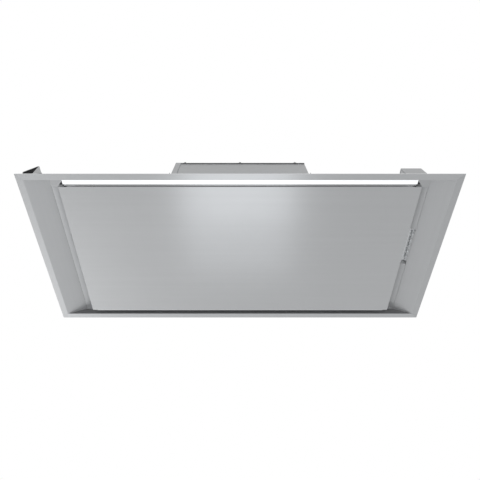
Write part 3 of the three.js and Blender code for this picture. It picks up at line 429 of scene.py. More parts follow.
def moulded_plastic(name, colour, lighter, roughness, grain=1400.0, specular=0.5):
    """Moulded plastic or rubber with its grain and a little dust."""
    made, tree, sockets, point = material(name, Metallic=0.0, Specular_IOR_Level=specular)
    skin = use(tree, "moulded_grain", point=point, scale=grain)
    dust = use(tree, "settled_dust", point=point, amount=0.25)["Dust"]
    edge = use(tree, "edge_wear_and_highlight", point=point, radius=0.0006)["Edge"]
    worn = (*(2 * channel for channel in lighter), 1)
    body = blended(tree, skin["Tone"], (*colour, 1), (*lighter, 1))
    body = blended(tree, times(tree, edge, 0.35), body, worn)
    body = blended(tree, dust, body, (0.4, 0.38, 0.35, 1))
    rough = between(tree, skin["Tone"], 0.3, 0.7, roughness - 0.06, roughness + 0.08)
    normal = relief(tree, skin["Height"], 0.3, 0.00005)
    connect(tree, sockets, Base_Color=body, Roughness=rough, Normal=normal)
    return made


def circuit_board():
    """Green solder mask over copper tracks."""
    made, tree, sockets, point = material("circuit board", Metallic=0.0)
    tracks = cells(tree, point, 260.0, feature="F2", distance="CHEBYCHEV")
    line = between(tree, tracks["Distance"], 0.42, 0.5)
    marks = use(tree, "handling_marks", point=point, scale=40.0, amount=1.0)["Marks"]
    board = blended(tree, line, (0.02, 0.11, 0.05, 1), (0.05, 0.2, 0.08, 1))
    rough = between(tree, marks, 0.0, 1.0, 0.25, 0.5)
    connect(tree, sockets, Base_Color=board, Roughness=rough, Normal=relief(tree, line, 0.3, 0.00005))
    return made


def pad_print():
    """Pale printed ink, thinner in places. It glows a little: painted light, as printed ink gives no
    light.
    """
    made, tree, sockets, point = material("pad print with painted glow", Metallic=0.0, Emission_Strength=0.15)
    ink = noise(tree, point, 900.0, 3.0)
    colour = blended(tree, ink, (0.8, 0.84, 0.88, 1), (0.95, 0.97, 1.0, 1))
    rough = between(tree, ink, 0.3, 0.7, 0.4, 0.6)
    # The emission is a painted glow on the print.
    connect(tree, sockets, Base_Color=colour, Emission_Color=colour, Roughness=rough)
    return made


def pale_floor():
    """Plain pale studio floor."""
    made, tree, sockets, point = material("pale floor", Roughness=0.9, Specular_IOR_Level=0.1)
    tone = noise(tree, point, 3.0, 3.0)
    connect(tree, sockets, Base_Color=blended(tree, tone, grey(0.82), grey(0.85)))
    return made


ALONG_X = (5.0, 1100.0, 1100.0)
ALONG_Y = (1100.0, 5.0, 1100.0)

# Where one finish gives way to another on the same solid, in metres: at the top of the side slopes, on
# the roof's upper face, at the door's far lip, above the motor box's cover and over the light channel's
# far wall.
SLOPE_TOP = 28.5 * MM
ROOF_TOP = (span("plenum_cover_left")[0].z + 0.5) * MM
DOOR_LIP = (span("door_skin")[1].y - 2.7) * MM
COVER_TOP = (span("motor_box_cover")[0].z + 1.05) * MM
CHANNEL_WALL = (span("light_channel")[1].y - 1.3) * MM

STAINLESS_LONG = brushed_stainless("brushed stainless rim", ALONG_X, 0.66, 0.32)
# The two sides are lit and shaded copies, the right one darker. Above the slope's top their wall band is
# painted lighter: painted light in the shaded recess.
STAINLESS_LEFT = brushed_stainless(
    "brushed stainless left side", ALONG_Y, 0.65, 0.42, ("Z", SLOPE_TOP, 0.82, 0.26), metal=0.5)
STAINLESS_RIGHT = brushed_stainless(
    "brushed stainless right side", ALONG_Y, 0.605, 0.42, ("Z", SLOPE_TOP, 0.75, 0.26), metal=0.5)
# The door's far lip is painted lighter: a painted highlight along it. Its lower roughness is its polish.
STAINLESS_DOOR = brushed_stainless(
    "brushed stainless door", ALONG_X, 0.632, 0.32, ("Y", DOOR_LIP, 0.95, 0.16))
# Lit and shaded copies, the left stay lighter. Both are painted lighter than the slopes: painted light in
# the narrow gap beside the door.
STAY_LEFT = brushed_stainless("brushed stainless left stay", ALONG_Y, 0.83, 0.42, metal=0.6)
STAY_RIGHT = brushed_stainless("brushed stainless right stay", ALONG_Y, 0.645, 0.42, metal=0.6)
# Lighter than the sheets round it: painted light on the lips by the shaded slit between the light bar and
# the door.
STAINLESS_LIP = brushed_stainless("dull stainless lip", ALONG_X, 0.78, 0.3)
# Lit and shaded copies, the left roof lighter. Their upper face is painted dark: a painted shade against
# the lamp's highlight.
ROOF_LEFT = brushed_stainless(
    "bright stainless left roof", ALONG_Y, 0.84, 0.14, ("Z", ROOF_TOP, 0.18, 0.62))
ROOF_RIGHT = brushed_stainless(
    "bright stainless right roof", ALONG_Y, 0.74, 0.14, ("Z", ROOF_TOP, 0.18, 0.62))
# Darker than the slopes: painted shade in the far corners.
STAINLESS_CORNER = brushed_stainless("brushed stainless corners", ALONG_Y, 0.58, 0.34)
GALVANISED = galvanised_sheet("galvanised sheet")
COVER = galvanised_sheet("galvanised cover with dark bolts", COVER_TOP)
ALUMINIUM = satin_aluminium()
STEEL = zinc_plated_steel()
OPAL = opal_diffuser(12.5 * MM, CHANNEL_WALL)
BLACK = moulded_plastic("black plastic", (0.018, 0.018, 0.02), (0.04, 0.04, 0.044), 0.5)
GREY = moulded_plastic("grey plastic", (0.3, 0.31, 0.32), (0.37, 0.38, 0.39), 0.42, grain=2200.0)
WHITE = moulded_plastic("white plastic", (0.82, 0.83, 0.84), (0.88, 0.89, 0.9), 0.4, grain=1800.0)
SHADE_GREY = moulded_plastic("grey painted shade", (0.22, 0.22, 0.225), (0.28, 0.28, 0.285), 0.7, grain=900.0)
# Black foam for the seals. The same very dark, dull finish is the painted shade in the brackets' hollows.
FOAM_AND_SHADE = moulded_plastic(
    "black foam and painted shade", (0.01, 0.01, 0.011), (0.022, 0.022, 0.024), 0.9, grain=500.0, specular=0.15)
SILVER = metallic_paint()
BLACKENED = blackened_steel()
BOARD = circuit_board()
GLOWING_PRINT = pad_print()

FINISHES = {
    "stainless": STAINLESS_LONG,
    "galvanised": GALVANISED,
    "aluminium": ALUMINIUM,
    "steel": STEEL,
    "opal_plastic": OPAL,
    "black_plastic": BLACK,
    "grey_plastic": GREY,
    "circuit_board": BOARD,
}
OWN_FINISH = {
    "left_fascia": STAINLESS_LEFT,
    "right_fascia": STAINLESS_RIGHT,
    "corner_gusset_left": STAINLESS_CORNER,
    "corner_gusset_right": STAINLESS_CORNER,
    "plenum_cover_left": ROOF_LEFT,
    "plenum_cover_right": ROOF_RIGHT,
    "control_housing": SILVER,
    **{f"button_{i}": SILVER for i in range(1, 6)},
    "motor_box_cover": COVER,
    "door_skin": STAINLESS_DOOR,
}
ROUNDED = {
    **{f"{place}_fascia": 0.55 for place in ("front", "rear", "left", "right")},
    **{f"motor_box_{place}": 0.3 for place in ("front", "left", "right", "cover")},
    **dict.fromkeys(BRACKETS, 0.4),
    "door_skin": 0.5,
    "terminal_cover": 0.5,
    "terminal_box": 0.4,
    "light_diffuser": 0.5,
    "motor_controller": 0.4,
    "light_driver": 1.2,
    "control_housing": 0.12,
}


def round_edges(solid, width):
    """A small rounding on folded and cut edges."""
    bevel = solid.modifiers.new("rounding", "BEVEL")
    bevel.width = width * MM
    bevel.segments = 2
    bevel.limit_method = "ANGLE"
    bevel.angle_limit = math.radians(35)
    bevel.harden_normals = True


def dress_solids():
    """Every solid gets its slot's finish or its own, and sheet edges a small rounding."""
    for part in frame["record"]["subparts"]:
        name = part["node"]
        solid = frame["nodes"][name]
        solid.data.materials.clear()
        solid.data.materials.append(OWN_FINISH.get(name, FINISHES[part["material_slot"]]))
        if name in ROUNDED:
            round_edges(solid, ROUNDED[name])


# ---- Shapes ---------------------------------------------------------------------------------------


def facing(place, axis=(0, 0, 1), spin=0.0):
    """A matrix that puts a form at a place, its own Z along an axis. Spin is in degrees."""
    turn = Vector(axis).to_track_quat("Z", "Y").to_matrix().to_4x4()
    return Matrix.Translation(Vector(place)) @ turn @ Matrix.Rotation(math.radians(spin), 4, "Z")


def ring(radius, height, sides=32):
    """A closed ring of points. Radius is a number, or a function of the angle."""
    angles = [2 * math.pi * i / sides for i in range(sides)]
    reach = radius if callable(radius) else (lambda angle: radius)
    return [(reach(a) * math.cos(a), reach(a) * math.sin(a), height) for a in angles]


def hexagon(across):
    """The outline of a hexagon, given across its flats."""
    def reach(angle):
        return across / 2 / math.cos((angle + math.pi / 6) % (math.pi / 3) - math.pi / 6)
    return reach


def cross(length, width):
    """The outline of a cross recess."""
    def reach(angle):
        near = (angle + math.pi / 4) % (math.pi / 2) - math.pi / 4
        if abs(math.tan(near)) <= width / length:
            return length / 2 / math.cos(near)
        return width / 2 / abs(math.sin(near))
    return reach


class Form:
    """Collects closed shapes into one piece of the hood."""

    def __init__(self):
        self.mesh = bmesh.new()

    def loft(self, rings, matrix=Matrix.Identity(4), hollow=False):
        """A skin over rings of points, capped at both ends. Hollow joins the last ring to the first."""
        made = [[self.mesh.verts.new(matrix @ Vector(p)) for p in points] for points in rings]
        following = made[1:] + made[:1] if hollow else made[1:]
        for low, high in zip(made, following):
            for i in range(len(low)):
                j = (i + 1) % len(low)
                self.mesh.faces.new((low[i], low[j], high[j], high[i]))
        if not hollow:
            self.mesh.faces.new(list(reversed(made[0])))
            self.mesh.faces.new(made[-1])

    def turned(self, profile, matrix=Matrix.Identity(4), sides=32):
        """A form turned about its own Z from (radius, height) pairs, from the bottom to the top."""
        self.loft([ring(r, z, sides) for r, z in profile], matrix)

    def tube(self, profile, matrix=Matrix.Identity(4), sides=32):
        """A hollow turned form: its closed profile goes once round the wall."""
        self.loft([ring(r, z, sides) for r, z in profile], matrix, hollow=True)

    def bar(self, section, start, stop):
        """A length along Y, with a section of (x, z) pairs."""
        self.loft([[(x, y, z) for x, z in section] for y in (start, stop)])

    def block(self, low, high, chamfer=0.0):
        """A box between two corners, its edges chamfered."""
        x0, y0, z0 = low
        x1, y1, z1 = high
        c = chamfer
        half = chamfer / 2

        def corners(inset, z):
            left, right = x0 + inset, x1 - inset
            near, far = y0 + inset, y1 - inset
            if c == 0:
                return [(left, near, z), (right, near, z), (right, far, z), (left, far, z)]
            return [(left + c, near, z), (right - c, near, z), (right, near + c, z), (right, far - c, z),
                    (right - c, far, z), (left + c, far, z), (left, far - c, z), (left, near + c, z)]

        rings = [corners(0, z0), corners(0, z1)]
        if c > 0:
            rings = [corners(half, z0), corners(0, z0 + half), corners(0, z1 - half), corners(half, z1)]
        self.loft(rings)

    def done(self, name, finish, slot, body="housing", smooth=35):
        """Makes the mesh, gives it its finish and lets it ride on a body."""
        bmesh.ops.recalc_face_normals(self.mesh, faces=self.mesh.faces)
        bmesh.ops.scale(self.mesh, vec=(MM, MM, MM), verts=self.mesh.verts)
        data = bpy.data.meshes.new(name)
        self.mesh.to_mesh(data)
        self.mesh.free()
        data.materials.append(finish)
        data.polygons.foreach_set("use_smooth", [True] * len(data.polygons))
        data.set_sharp_from_angle(angle=math.radians(smooth))
        piece = bpy.data.objects.new(name, data)
        bpy.context.scene.collection.objects.link(piece)
        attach(piece, body)


# ---- Fasteners ------------------------------------------------------------------------------------
# A screw's spin is worked out from its place, so that the recesses don't all point the same way.


def pan_head(form, matrix, radius=3.4, height=2.2):
    """A pan-head screw with a cross recess. Its underside is at the matrix's origin."""
    recess = cross(radius * 1.15, radius * 0.32)
    form.loft([
        ring(radius * 0.98, -0.3),
        ring(radius, 0.1),
        ring(radius, height * 0.4),
        ring(radius * 0.86, height * 0.8),
        ring(radius * 0.62, height),
        ring(recess, height),
        ring(lambda a: recess(a) * 0.75, height * 0.35),
    ], matrix)


def small_screw(form, matrix):
    pan_head(form, matrix, radius=3.0, height=2.0)


def hex_nut(form, matrix, across, height, thread, stud, washer):
    """A hexagon nut on a washer and a stud. Thread and washer are radii, stud is a height."""
    form.turned([(washer, -0.2), (washer, 0.8), (washer - 0.4, 1.1)], matrix)
    nut = hexagon(across)
    seat = 0.9
    top = seat + height
    form.loft([
        ring(lambda a: nut(a) * 0.94, seat),
        ring(nut, 1.5),
        ring(nut, top - 0.6),
        ring(lambda a: nut(a) * 0.92, top),
        ring(thread + 0.3, top),
        ring(thread, top - 0.4),
    ], matrix)
    turns = 6
    pitch = (stud - height) / turns
    profile = [(thread - 0.35, seat)]
    for i in range(turns):
        z = top - 0.6 + pitch * i
        profile += [(thread, z + 0.1), (thread - 0.4, z + pitch * 0.6)]
    profile.append((thread - 0.7, seat + stud))
    form.turned(profile, matrix, 20)


def blind_rivet(form, matrix, radius=3.2):
    """The dome of a blind rivet with its mandrel's dimple."""
    form.turned([
        (radius * 0.96, -0.2), (radius, 0.15), (radius * 0.9, 0.6), (radius * 0.66, 1.0),
        (radius * 0.4, 1.15), (radius * 0.3, 1.1), (radius * 0.27, 0.7),
    ], matrix, 24)


# ---- Roof and motor box ---------------------------------------------------------------------------


def roof_screws():
    """Screws that hold the roof covers and the filter frame."""
    low, high = span("plenum_cover_right")
    top = span("filter_frame")[1].z
    inset = 6
    columns = (low.x + 30, (low.x + high.x) / 2, high.x - 45)
    end_rows = (-150, -50, 50, 150)
    screws = Form()
    for sign in SIDES.values():
        for y in (low.y + inset, high.y - inset):
            for x in columns:
                pan_head(screws, facing((sign * x, y, top), spin=17 * x))
        for y in end_rows:
            pan_head(screws, facing((sign * (high.x - inset), y, top), spin=3 * y))
    screws.done("roof_screws", STEEL, "steel")


def box_rivets():
    """Rivets along the motor box's sides and down the ends of its rear panel."""
    rows = (-190, -95, 0, 95, 145)
    inset, end_inset, end_margin = 9, 12, 14
    low, high = span("motor_box_right")
    rivets = Form()
    for z in (low.z + inset, high.z - inset):
        for y in rows:
            for sign in SIDES.values():
                blind_rivet(rivets, facing((sign * high.x, y, z), (sign, 0, 0)))
    low, high = span("motor_box_rear")
    for x in (low.x + end_inset, high.x - end_inset):
        for z in (low.z + end_margin, (low.z + high.z) / 2, high.z - end_margin):
            blind_rivet(rivets, facing((x, high.y, z), (0, 1, 0)))
    rivets.done("box_rivets", ALUMINIUM, "aluminium")


def cover_nuts():
    """Blackened flange nuts round the bolts of the motor box's cover, along its near and far edges."""
    low, high = span("motor_box_cover")
    sheet_top = low.z + 1
    columns, rows = (-168, 0, 168), (low.y + 5.8, high.y - 11)
    across = hexagon(10.6)
    bore, foot, shoulder, top = 4.4, 1.52, 7.6, 8.4
    chamfered = (lambda angle: across(angle) * 0.94)
    profile = [(bore, foot), (across, foot), (across, shoulder), (chamfered, top), (bore, top)]
    nuts = Form()
    for x in columns:
        for y in rows:
            nuts.tube(profile, facing((x, y, sheet_top), spin=x), 36)
    nuts.done("cover_nuts", BLACKENED, "steel")


def sealant():
    """A grey bead along the motor box's corner flange, and a gasket under the terminal box's cover."""
    low, high = span("motor_box_front")
    flange = span("motor_box_left")[1].x
    bead = [(0.05, -1.25), (1.1, -0.75), (1.9, -0.05), (0.05, -0.05)]
    seals = Form()
    seals.loft([[(flange + x, low.y + y, z) for x, y in bead] for z in (low.z + 1, high.z - 0.5)])
    low, high = span("terminal_cover")
    sheet, reach, proud = 1.65, 3.6, 0.35
    upright = ((low.y + sheet, low.z + 0.5), (low.y + reach, high.z - 2.2))
    level = ((low.y + sheet, high.z - reach), (high.y - 1, high.z - sheet))
    for (y0, z0), (y1, z1) in (upright, level):
        seals.block((low.x - proud, y0, z0), (low.x + 0.15, y1, z1), 0.1)
    seals.done("sealant", GREY, "grey_plastic")


def terminal_screws():
    """Screws in the terminal box's cover, and an earth screw on its left side."""
    inset, side_inset = 8, 12
    low, high = span("terminal_cover")
    screws = Form()
    for x in (low.x + inset, high.x - inset):
        small_screw(screws, facing((x, high.y - inset, high.z), spin=20 + x))
    low, high = span("terminal_box")
    small_screw(screws, facing((low.x, high.y - side_inset, low.z + side_inset), (-1, 0, 0), 30))
    screws.done("terminal_screws", STEEL, "steel")


EAR_THICKNESS = 2


def controller_fittings(ears, plugs, screws):
    """Four mounting ears with their screws, and a row of keyed connectors, on the motor controller."""
    low, high = span("motor_controller")
    top = low.z + EAR_THICKNESS
    half, reach, hole = 9, 12, 7
    for x in (low.x + 2 * half, high.x - 2 * half):
        for y, out in ((low.y, -1), (high.y, 1)):
            y0, y1 = sorted((y - out * 0.4, y + out * reach))
            ears.block((x - half, y0, low.z), (x + half, y1, top), 0.6)
            small_screw(screws, facing((x, y + out * hole, top), spin=x))
    margin, pitch, width, length = 16, 17, 13, 9
    key_pitch, key_width = 3.6, 2
    for i in range(4):
        y = low.y + margin + pitch * i
        plugs.block((low.x - length, y, low.z + 5), (low.x + 0.4, y + width, low.z + 15), 0.8)
        for k in range(3):
            key = y + 2 + key_pitch * k
            plugs.block((low.x - length - 0.4, key, low.z + 11), (low.x - 6, key + key_width, low.z + 13))


def driver_fittings(ears, plugs, screws):
    """A mounting ear and its screw on each end of the light driver, and a connector on the right end."""
    low, high = span("light_driver")
    top = low.z + EAR_THICKNESS
    reach, hole, inset, plug_inset = 11, 6, 12, 14
    for x, out in ((low.x, -1), (high.x, 1)):
        x0, x1 = sorted((x - out * 2.4, x + out * reach))
        ears.block((x0, low.y + inset, low.z), (x1, high.y - inset, top), 0.6)
        small_screw(screws, facing((x + out * hole, (low.y + high.y) / 2, top), spin=40))
    near, far = low.y + plug_inset, high.y - plug_inset
    plugs.block((high.x - 1.6, near, low.z + 5), (high.x + 7, far, low.z + 14), 0.8)


def electronics_fittings():
    """Mounting ears, connectors and screws for the electronics on the roof."""
    ears, plugs, screws = Form(), Form(), Form()
    controller_fittings(ears, plugs, screws)
    driver_fittings(ears, plugs, screws)
    ears.done("mounting_ears", ALUMINIUM, "aluminium")
    plugs.done("board_connectors", GREY, "grey_plastic")
    screws.done("electronics_screws", STEEL, "steel")


# ---- Duct spigot ----------------------------------------------------------------------------------


def sleeve():
    """Half the width and half the height of the spigot's sleeve."""
    low, high = span("outlet_spigot")
    flange = 8
    return high.x - flange, (high.z - low.z) / 2 - flange


def spigot_screws():
    """Screws round the spigot's flange."""
    low, high = span("outlet_spigot")
    inset = 4
    middle = (low.z + high.z) / 2
    places = [(x, z, x) for x in (-100, -33, 33, 100) for z in (low.z + inset, high.z - inset)]
    places += [(x, middle, 0) for x in (low.x + inset, high.x - inset)]
    screws = Form()
    for x, z, spin in places:
        pan_head(screws, facing((x, low.y + 1.5, z), (0, 1, 0), spin), radius=2.9, height=1.8)
    screws.done("spigot_screws", STEEL, "steel")


def spigot_seal():
    """A foam strip round the sleeve, for the duct."""
    half_x, half_z = sleeve()
    low, high = span("outlet_spigot")
    middle = (low.z + high.z) / 2
    thick = 1.6
    inner = [(half_x, half_z), (-half_x, half_z), (-half_x, -half_z), (half_x, -half_z)]
    outer = [(x + math.copysign(thick, x), z + math.copysign(thick, z)) for x, z in inner]
    seal = Form()
    for i in range(4):
        j = (i + 1) % 4
        section = [(x, middle + z) for x, z in (outer[i], outer[j], inner[j], inner[i])]
        seal.bar(section, high.y - 24, high.y - 9)
    seal.done("spigot_seal", FOAM_AND_SHADE, "black_plastic")


def damper_bushes():
    """Bushes on the sleeve's sides, at the ends of each damper flap's axle."""
    half_x = sleeve()[0]
    profile = [(2.3, -0.1), (5.0, -0.1), (5.0, 1.2), (4.2, 2.2), (2.3, 2.2)]
    bushes = Form()
    for flap in ("upper", "lower"):
        low, high = span(f"damper_flap_{flap}")
        for sign in (-1, 1):
            bushes.tube(profile, facing((sign * half_x, low.y + 2.4, high.z - 2), (sign, 0, 0)), 24)
    bushes.done("damper_bushes", BLACK, "black_plastic")


# ---- Filters --------------------------------------------------------------------------------------


def filter_fabric(side):
    """Three layers of stretched aluminium in a filter's frame, in place of its plain solid."""
    low, high = span(f"filter_mesh_{side}")
    margin = 2.2
    width, depth = high.x - low.x - 2 * margin, high.y - low.y - 2 * margin
    columns, rows = 38, 144
    row_length = columns + 1
    wave = 0.45
    points, faces = [], []
    for layer, height in enumerate((1.2, 3.6, 5.9)):
        start = len(points)
        swing = wave if layer % 2 else -wave
        for j in range(rows + 1):
            y = low.y + margin + depth * j / rows
            z = low.z + height + (swing if j % 2 else -swing)
            for i in range(row_length):
                x = low.x + margin + width * i / columns
                points.append((x * MM, y * MM, z * MM))
        for j in range(1, rows):
            for i in range(1, columns):
                if (i + j + layer) % 2:
                    at = start + j * row_length + i
                    faces.append((at - 1, at - row_length, at + 1, at + row_length))
    data = bpy.data.meshes.new(f"filter_fabric_{side}")
    data.from_pydata(points, [], faces)
    loose = bmesh.new()
    loose.from_mesh(data)
    bmesh.ops.delete(loose, geom=[v for v in loose.verts if not v.link_faces], context="VERTS")
    loose.to_mesh(data)
    loose.free()
    data.materials.append(ALUMINIUM)
    fabric = bpy.data.objects.new(data.name, data)
    bpy.context.scene.collection.objects.link(fabric)
    wire = fabric.modifiers.new("strands", "WIREFRAME")
    wire.thickness = 0.95 * MM
    wire.use_even_offset = False
    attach(fabric, "housing")
    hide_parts(f"filter_mesh_{side}")


def filter_rivets(side):
    """Mitre rivets in a filter's corners."""
    low, high = span(f"filter_frame_{side}")
    inset = 6
    rivets = Form()
    for x in (low.x + inset, high.x - inset):
        for y in (low.y + inset, high.y - inset):
            blind_rivet(rivets, facing((x, y, low.z), (0, 0, -1)), 1.9)
    rivets.done(f"filter_rivets_{side}", ALUMINIUM, "aluminium")


def latch_ridges(side):
    """Grip ridges on a filter's latch."""
    low, high = span(f"filter_latch_{side}")
    ridges = Form()
    pitch, width, proud, inset = 1.5, 0.7, 0.6, 8
    for i in range(4):
        z = low.z + 1.2 + pitch * i
        ridges.block((low.x + inset, high.y - 0.1, z), (high.x - inset, high.y + proud, z + width), 0.15)
    ridges.done(f"latch_ridges_{side}", BLACK, "black_plastic", f"latch_body_{side}")


# ---- Brackets and rim -----------------------------------------------------------------------------


def bracket_nuts():
    """Nuts on studs through each bracket's foot, and clamp screws in its slanted plate.

    The foot lies on the side's slope, which starts inside the rim's edge and rises inward. The plate
    leans out from its crest down to its elbow.
    """
    rim_edge = span("right_fascia")[1].x
    slope_start, rise, foot_height = rim_edge - 19, 0.5, 3.35
    crest, elbow, sheet = Vector((rim_edge - 28.75, 0, 76.9)), Vector((rim_edge - 9, 0, 29)), 1.5
    along = (crest - elbow).normalized()
    out = Vector((along.z, 0, -along.x))
    plate = (crest + elbow) / 2 + out * sheet
    nuts = Form()
    for name, sign in BRACKETS.items():
        low, high = span(name)
        foot = abs(low.x if sign > 0 else high.x) + 10
        foot_top = (slope_start - foot) * rise + foot_height
        for y in (low.y + 14, high.y - 14):
            matrix = facing((sign * foot, y, foot_top), (sign * rise, 0, 1))
            hex_nut(nuts, matrix, across=7.0, height=3.2, thread=2.0, stud=5.5, washer=5.2)
        middle = (low.y + high.y) / 2
        for y in (-16, 16):
            matrix = facing((sign * plate.x, middle + y, plate.z), (sign * out.x, 0, out.z), 10 + y)
            pan_head(nuts, matrix, radius=3.6, height=2.2)
    nuts.done("bracket_nuts", STEEL, "steel")


def bracket_shade_pads():
    """Black pads filling the folded brackets' hollows: painted shade inside the brackets."""
    outline = [(561.8, 17), (569, 66), (570.2, 74), (571.6, 74), (588.2, 32), (588.4, 29), (583.6, 17.5)]
    pads = Form()
    for name, sign in BRACKETS.items():
        low, high = span(name)
        pads.bar([(sign * x, z) for x, z in outline], low.y + 1.2, high.y - 1.2)
    pads.done("bracket_shade_pads", FOAM_AND_SHADE, "black_plastic", smooth=20)


def rim_seal():
    """Foam tape on the rim, just inside the hem, that closes against the ceiling."""
    hem = 8.5
    outer_x, outer_y = span("right_fascia")[1].x - hem, span("rear_fascia")[1].y - hem
    width, bottom, top = 5.0, 1.2, 3.4
    inner_x, inner_y = outer_x - width, outer_y - width
    seal = Form()
    for sign in (-1, 1):
        y0, y1 = sorted((sign * outer_y, sign * inner_y))
        seal.block((-outer_x, y0, bottom), (outer_x, y1, top), 0.5)
        x0, x1 = sorted((sign * outer_x, sign * inner_x))
        seal.block((x0, -inner_y, bottom), (x1, inner_y, top), 0.5)
    seal.done("rim_seal", FOAM_AND_SHADE, "black_plastic")


# ---- Light bar and recess walls -------------------------------------------------------------------


def light_end_caps():
    """Grey caps on the light bar's ends."""
    low, high = span("light_channel")
    thick, inset, bottom, top = 1.4, 0.2, 3.2, high.z - 4
    caps = Form()
    for x, out in ((low.x, -1), (high.x, 1)):
        x0, x1 = sorted((x - out * 0.05, x + out * thick))
        caps.block((x0, low.y + inset, bottom), (x1, high.y - inset, top), 0.3)
    caps.done("light_end_caps", GREY, "grey_plastic")


def light_diodes():
    """Diodes along the light bar's board."""
    low, high = span("light_board")
    y = (low.y + high.y) / 2
    count, margin, half = 76, 8, 1.4
    diodes = Form()
    for i in range(count):
        x = low.x + margin + (high.x - low.x - 2 * margin) * i / (count - 1)
        diodes.block((x - half, y - half, low.z - 0.7), (x + half, y + half, low.z + 0.05))
    diodes.done("light_diodes", OPAL, "opal_plastic")


def guard_lip(name, edge, section, body):
    """A rolled metal lip on an edge, a bit shorter than the light bar. Its section is (y, z) pairs."""
    low, high = span("light_channel")
    gap = 8
    lip = Form()
    lip.loft([[(x, edge + y, z) for y, z in section] for x in (low.x + gap, high.x - gap)])
    lip.done(name, STAINLESS_LIP, "stainless", body)


def guard_lips():
    """Lips along the light bar's far side and along the door's near edge."""
    wiper = [(0.05, 2.6), (0.05, 7.0), (1.45, 7.0), (2.05, 4.2), (3.85, 2.2), (3.65, 1.5), (1.25, 1.6)]
    guard_lip("wiper_lip", span("light_channel")[1].y, wiper, "housing")
    rolled = [(0.05, 1.2), (0.05, 3.4), (-0.7, 3.2), (-1.15, 2.2), (-0.9, 1.5)]
    guard_lip("door_edge_lip", span("door_skin")[0].y, rolled, "door")


def far_gap_shade_sheet():
    """A dark grey sheet on the far wall, behind the gap along the door's far edge: painted shade in that
    gap.
    """
    wall = span("rear_fascia")[0].y
    right_half = [(572, 0.1), (570, 3.4), (526, 25.4)]
    outline = [(-572, 0.1), *right_half, *((-x, z) for x, z in reversed(right_half[1:]))]
    sheet = Form()
    sheet.bar(outline, wall - 0.4, wall - 0.05)
    sheet.done("far_gap_shade_sheet", SHADE_GREY, "black_plastic")


def side_stays():
    """Infill sheets in line with the side slopes, up to the roof, with white caps on their near ends. The
    caps' white is painted light on faces that lie in shade.

    The left one is whole, and the right one leaves room for the controls.
    """
    near, far = -206, span("rear_fascia")[0].y - 0.5
    roof = span("plenum_cover_left")[0].z - 0.1
    section = [(524.6, 28.4), (496.5, 42.4), (496.5, roof), (524.6, roof)]
    flat = [(x, max(z, roof - 0.1)) for x, z in section]
    ramp = 4
    low, high = span("control_housing")
    before_controls, past_controls = low.y - 4, high.y + 8
    lengths = {
        "left": (STAY_LEFT, [(near, far)]),
        "right": (STAY_RIGHT, [(near, before_controls), (past_controls, far)]),
    }
    for side, sign in SIDES.items():
        finish, stretches = lengths[side]
        stay, caps = Form(), Form()
        for start, stop in stretches:
            stay.bar([(sign * x, z) for x, z in section], start, stop)
            ends = ((flat, start - ramp), (section, start))
            caps.loft([[(sign * x, y, z) for x, z in outline] for outline, y in ends])
        stay.done(f"side_stay_{side}", finish, "stainless", smooth=50)
        # White caps: painted light on the shaded ramp faces at the stays' near ends.
        caps.done(f"stay_caps_{side}", WHITE, "grey_plastic", smooth=50)


# ---- Controls -------------------------------------------------------------------------------------


def stroke(form, points, width, face):
    """A thin printed line on a button's face. Points are (along the wall, up), from its middle."""
    x, y0, z0 = face
    half = width / 2
    for (a, b), (c, d) in zip(points, points[1:]):
        length = math.hypot(c - a, d - b)
        u, v = (c - a) / length * half, (d - b) / length * half
        corners = [(a - u - v, b - v + u), (c + u - v, d + v + u),
                   (c + u + v, d + v - u), (a - u + v, b - v - u)]
        form.loft([[(depth, y0 - p, z0 + q) for p, q in corners] for depth in (x - 0.12, x + 0.1)])


def arc(radius, start, stop, steps=10):
    """Points on an arc about a button's middle, from one angle to another in degrees."""
    angles = [math.radians(start + (stop - start) * i / steps) for i in range(steps + 1)]
    return [(radius * math.cos(a), radius * math.sin(a)) for a in angles]


def button_signs():
    """Plain printed signs on the five buttons: power, less, more, timer and light."""
    line = 0.55
    bar = [(-1.7, 0), (1.7, 0)]
    upright = [(0, -1.7), (0, 1.7)]
    signs = [
        [[(0, 0.2), (0, 2.1)], arc(1.7, 125, 415)],
        [bar],
        [bar, upright],
        [arc(1.8, 0, 360), [(0, 1.1), (0, 0), (0.9, 0)]],
        [arc(1.3, -50, 230), [(-0.6, -1.6), (0.6, -1.6)], [(-0.4, -2.2), (0.4, -2.2)]],
    ]
    for i, strokes in enumerate(signs, 1):
        low, high = span(f"button_{i}")
        face = (low.x, (low.y + high.y) / 2, (low.z + high.z) / 2)
        sign = Form()
        for points in strokes:
            stroke(sign, points, line, face)
        sign.done(f"button_sign_{i}", GLOWING_PRINT, "opal_plastic", f"button_body_{i}")


# ---- Door -----------------------------------------------------------------------------------------


def spot_welds():
    """Spot welds along both flanges of the door's stiffeners."""
    rows, margin, sheet = 7, 15, 0.8
    dimple = [(2.4, 0), (2.2, 0.12), (1.4, 0.02), (0.5, 0.0)]
    welds = Form()
    for side in SIDES:
        low, high = span(f"door_stiffener_{side}")
        for x in (low.x + 5, high.x - 5):
            for i in range(rows):
                y = low.y + margin + (high.y - low.y - 2 * margin) * i / (rows - 1)
                welds.turned(dimple, facing((x, y, low.z + sheet)), 20)
    welds.done("spot_welds", STEEL, "steel", "door")


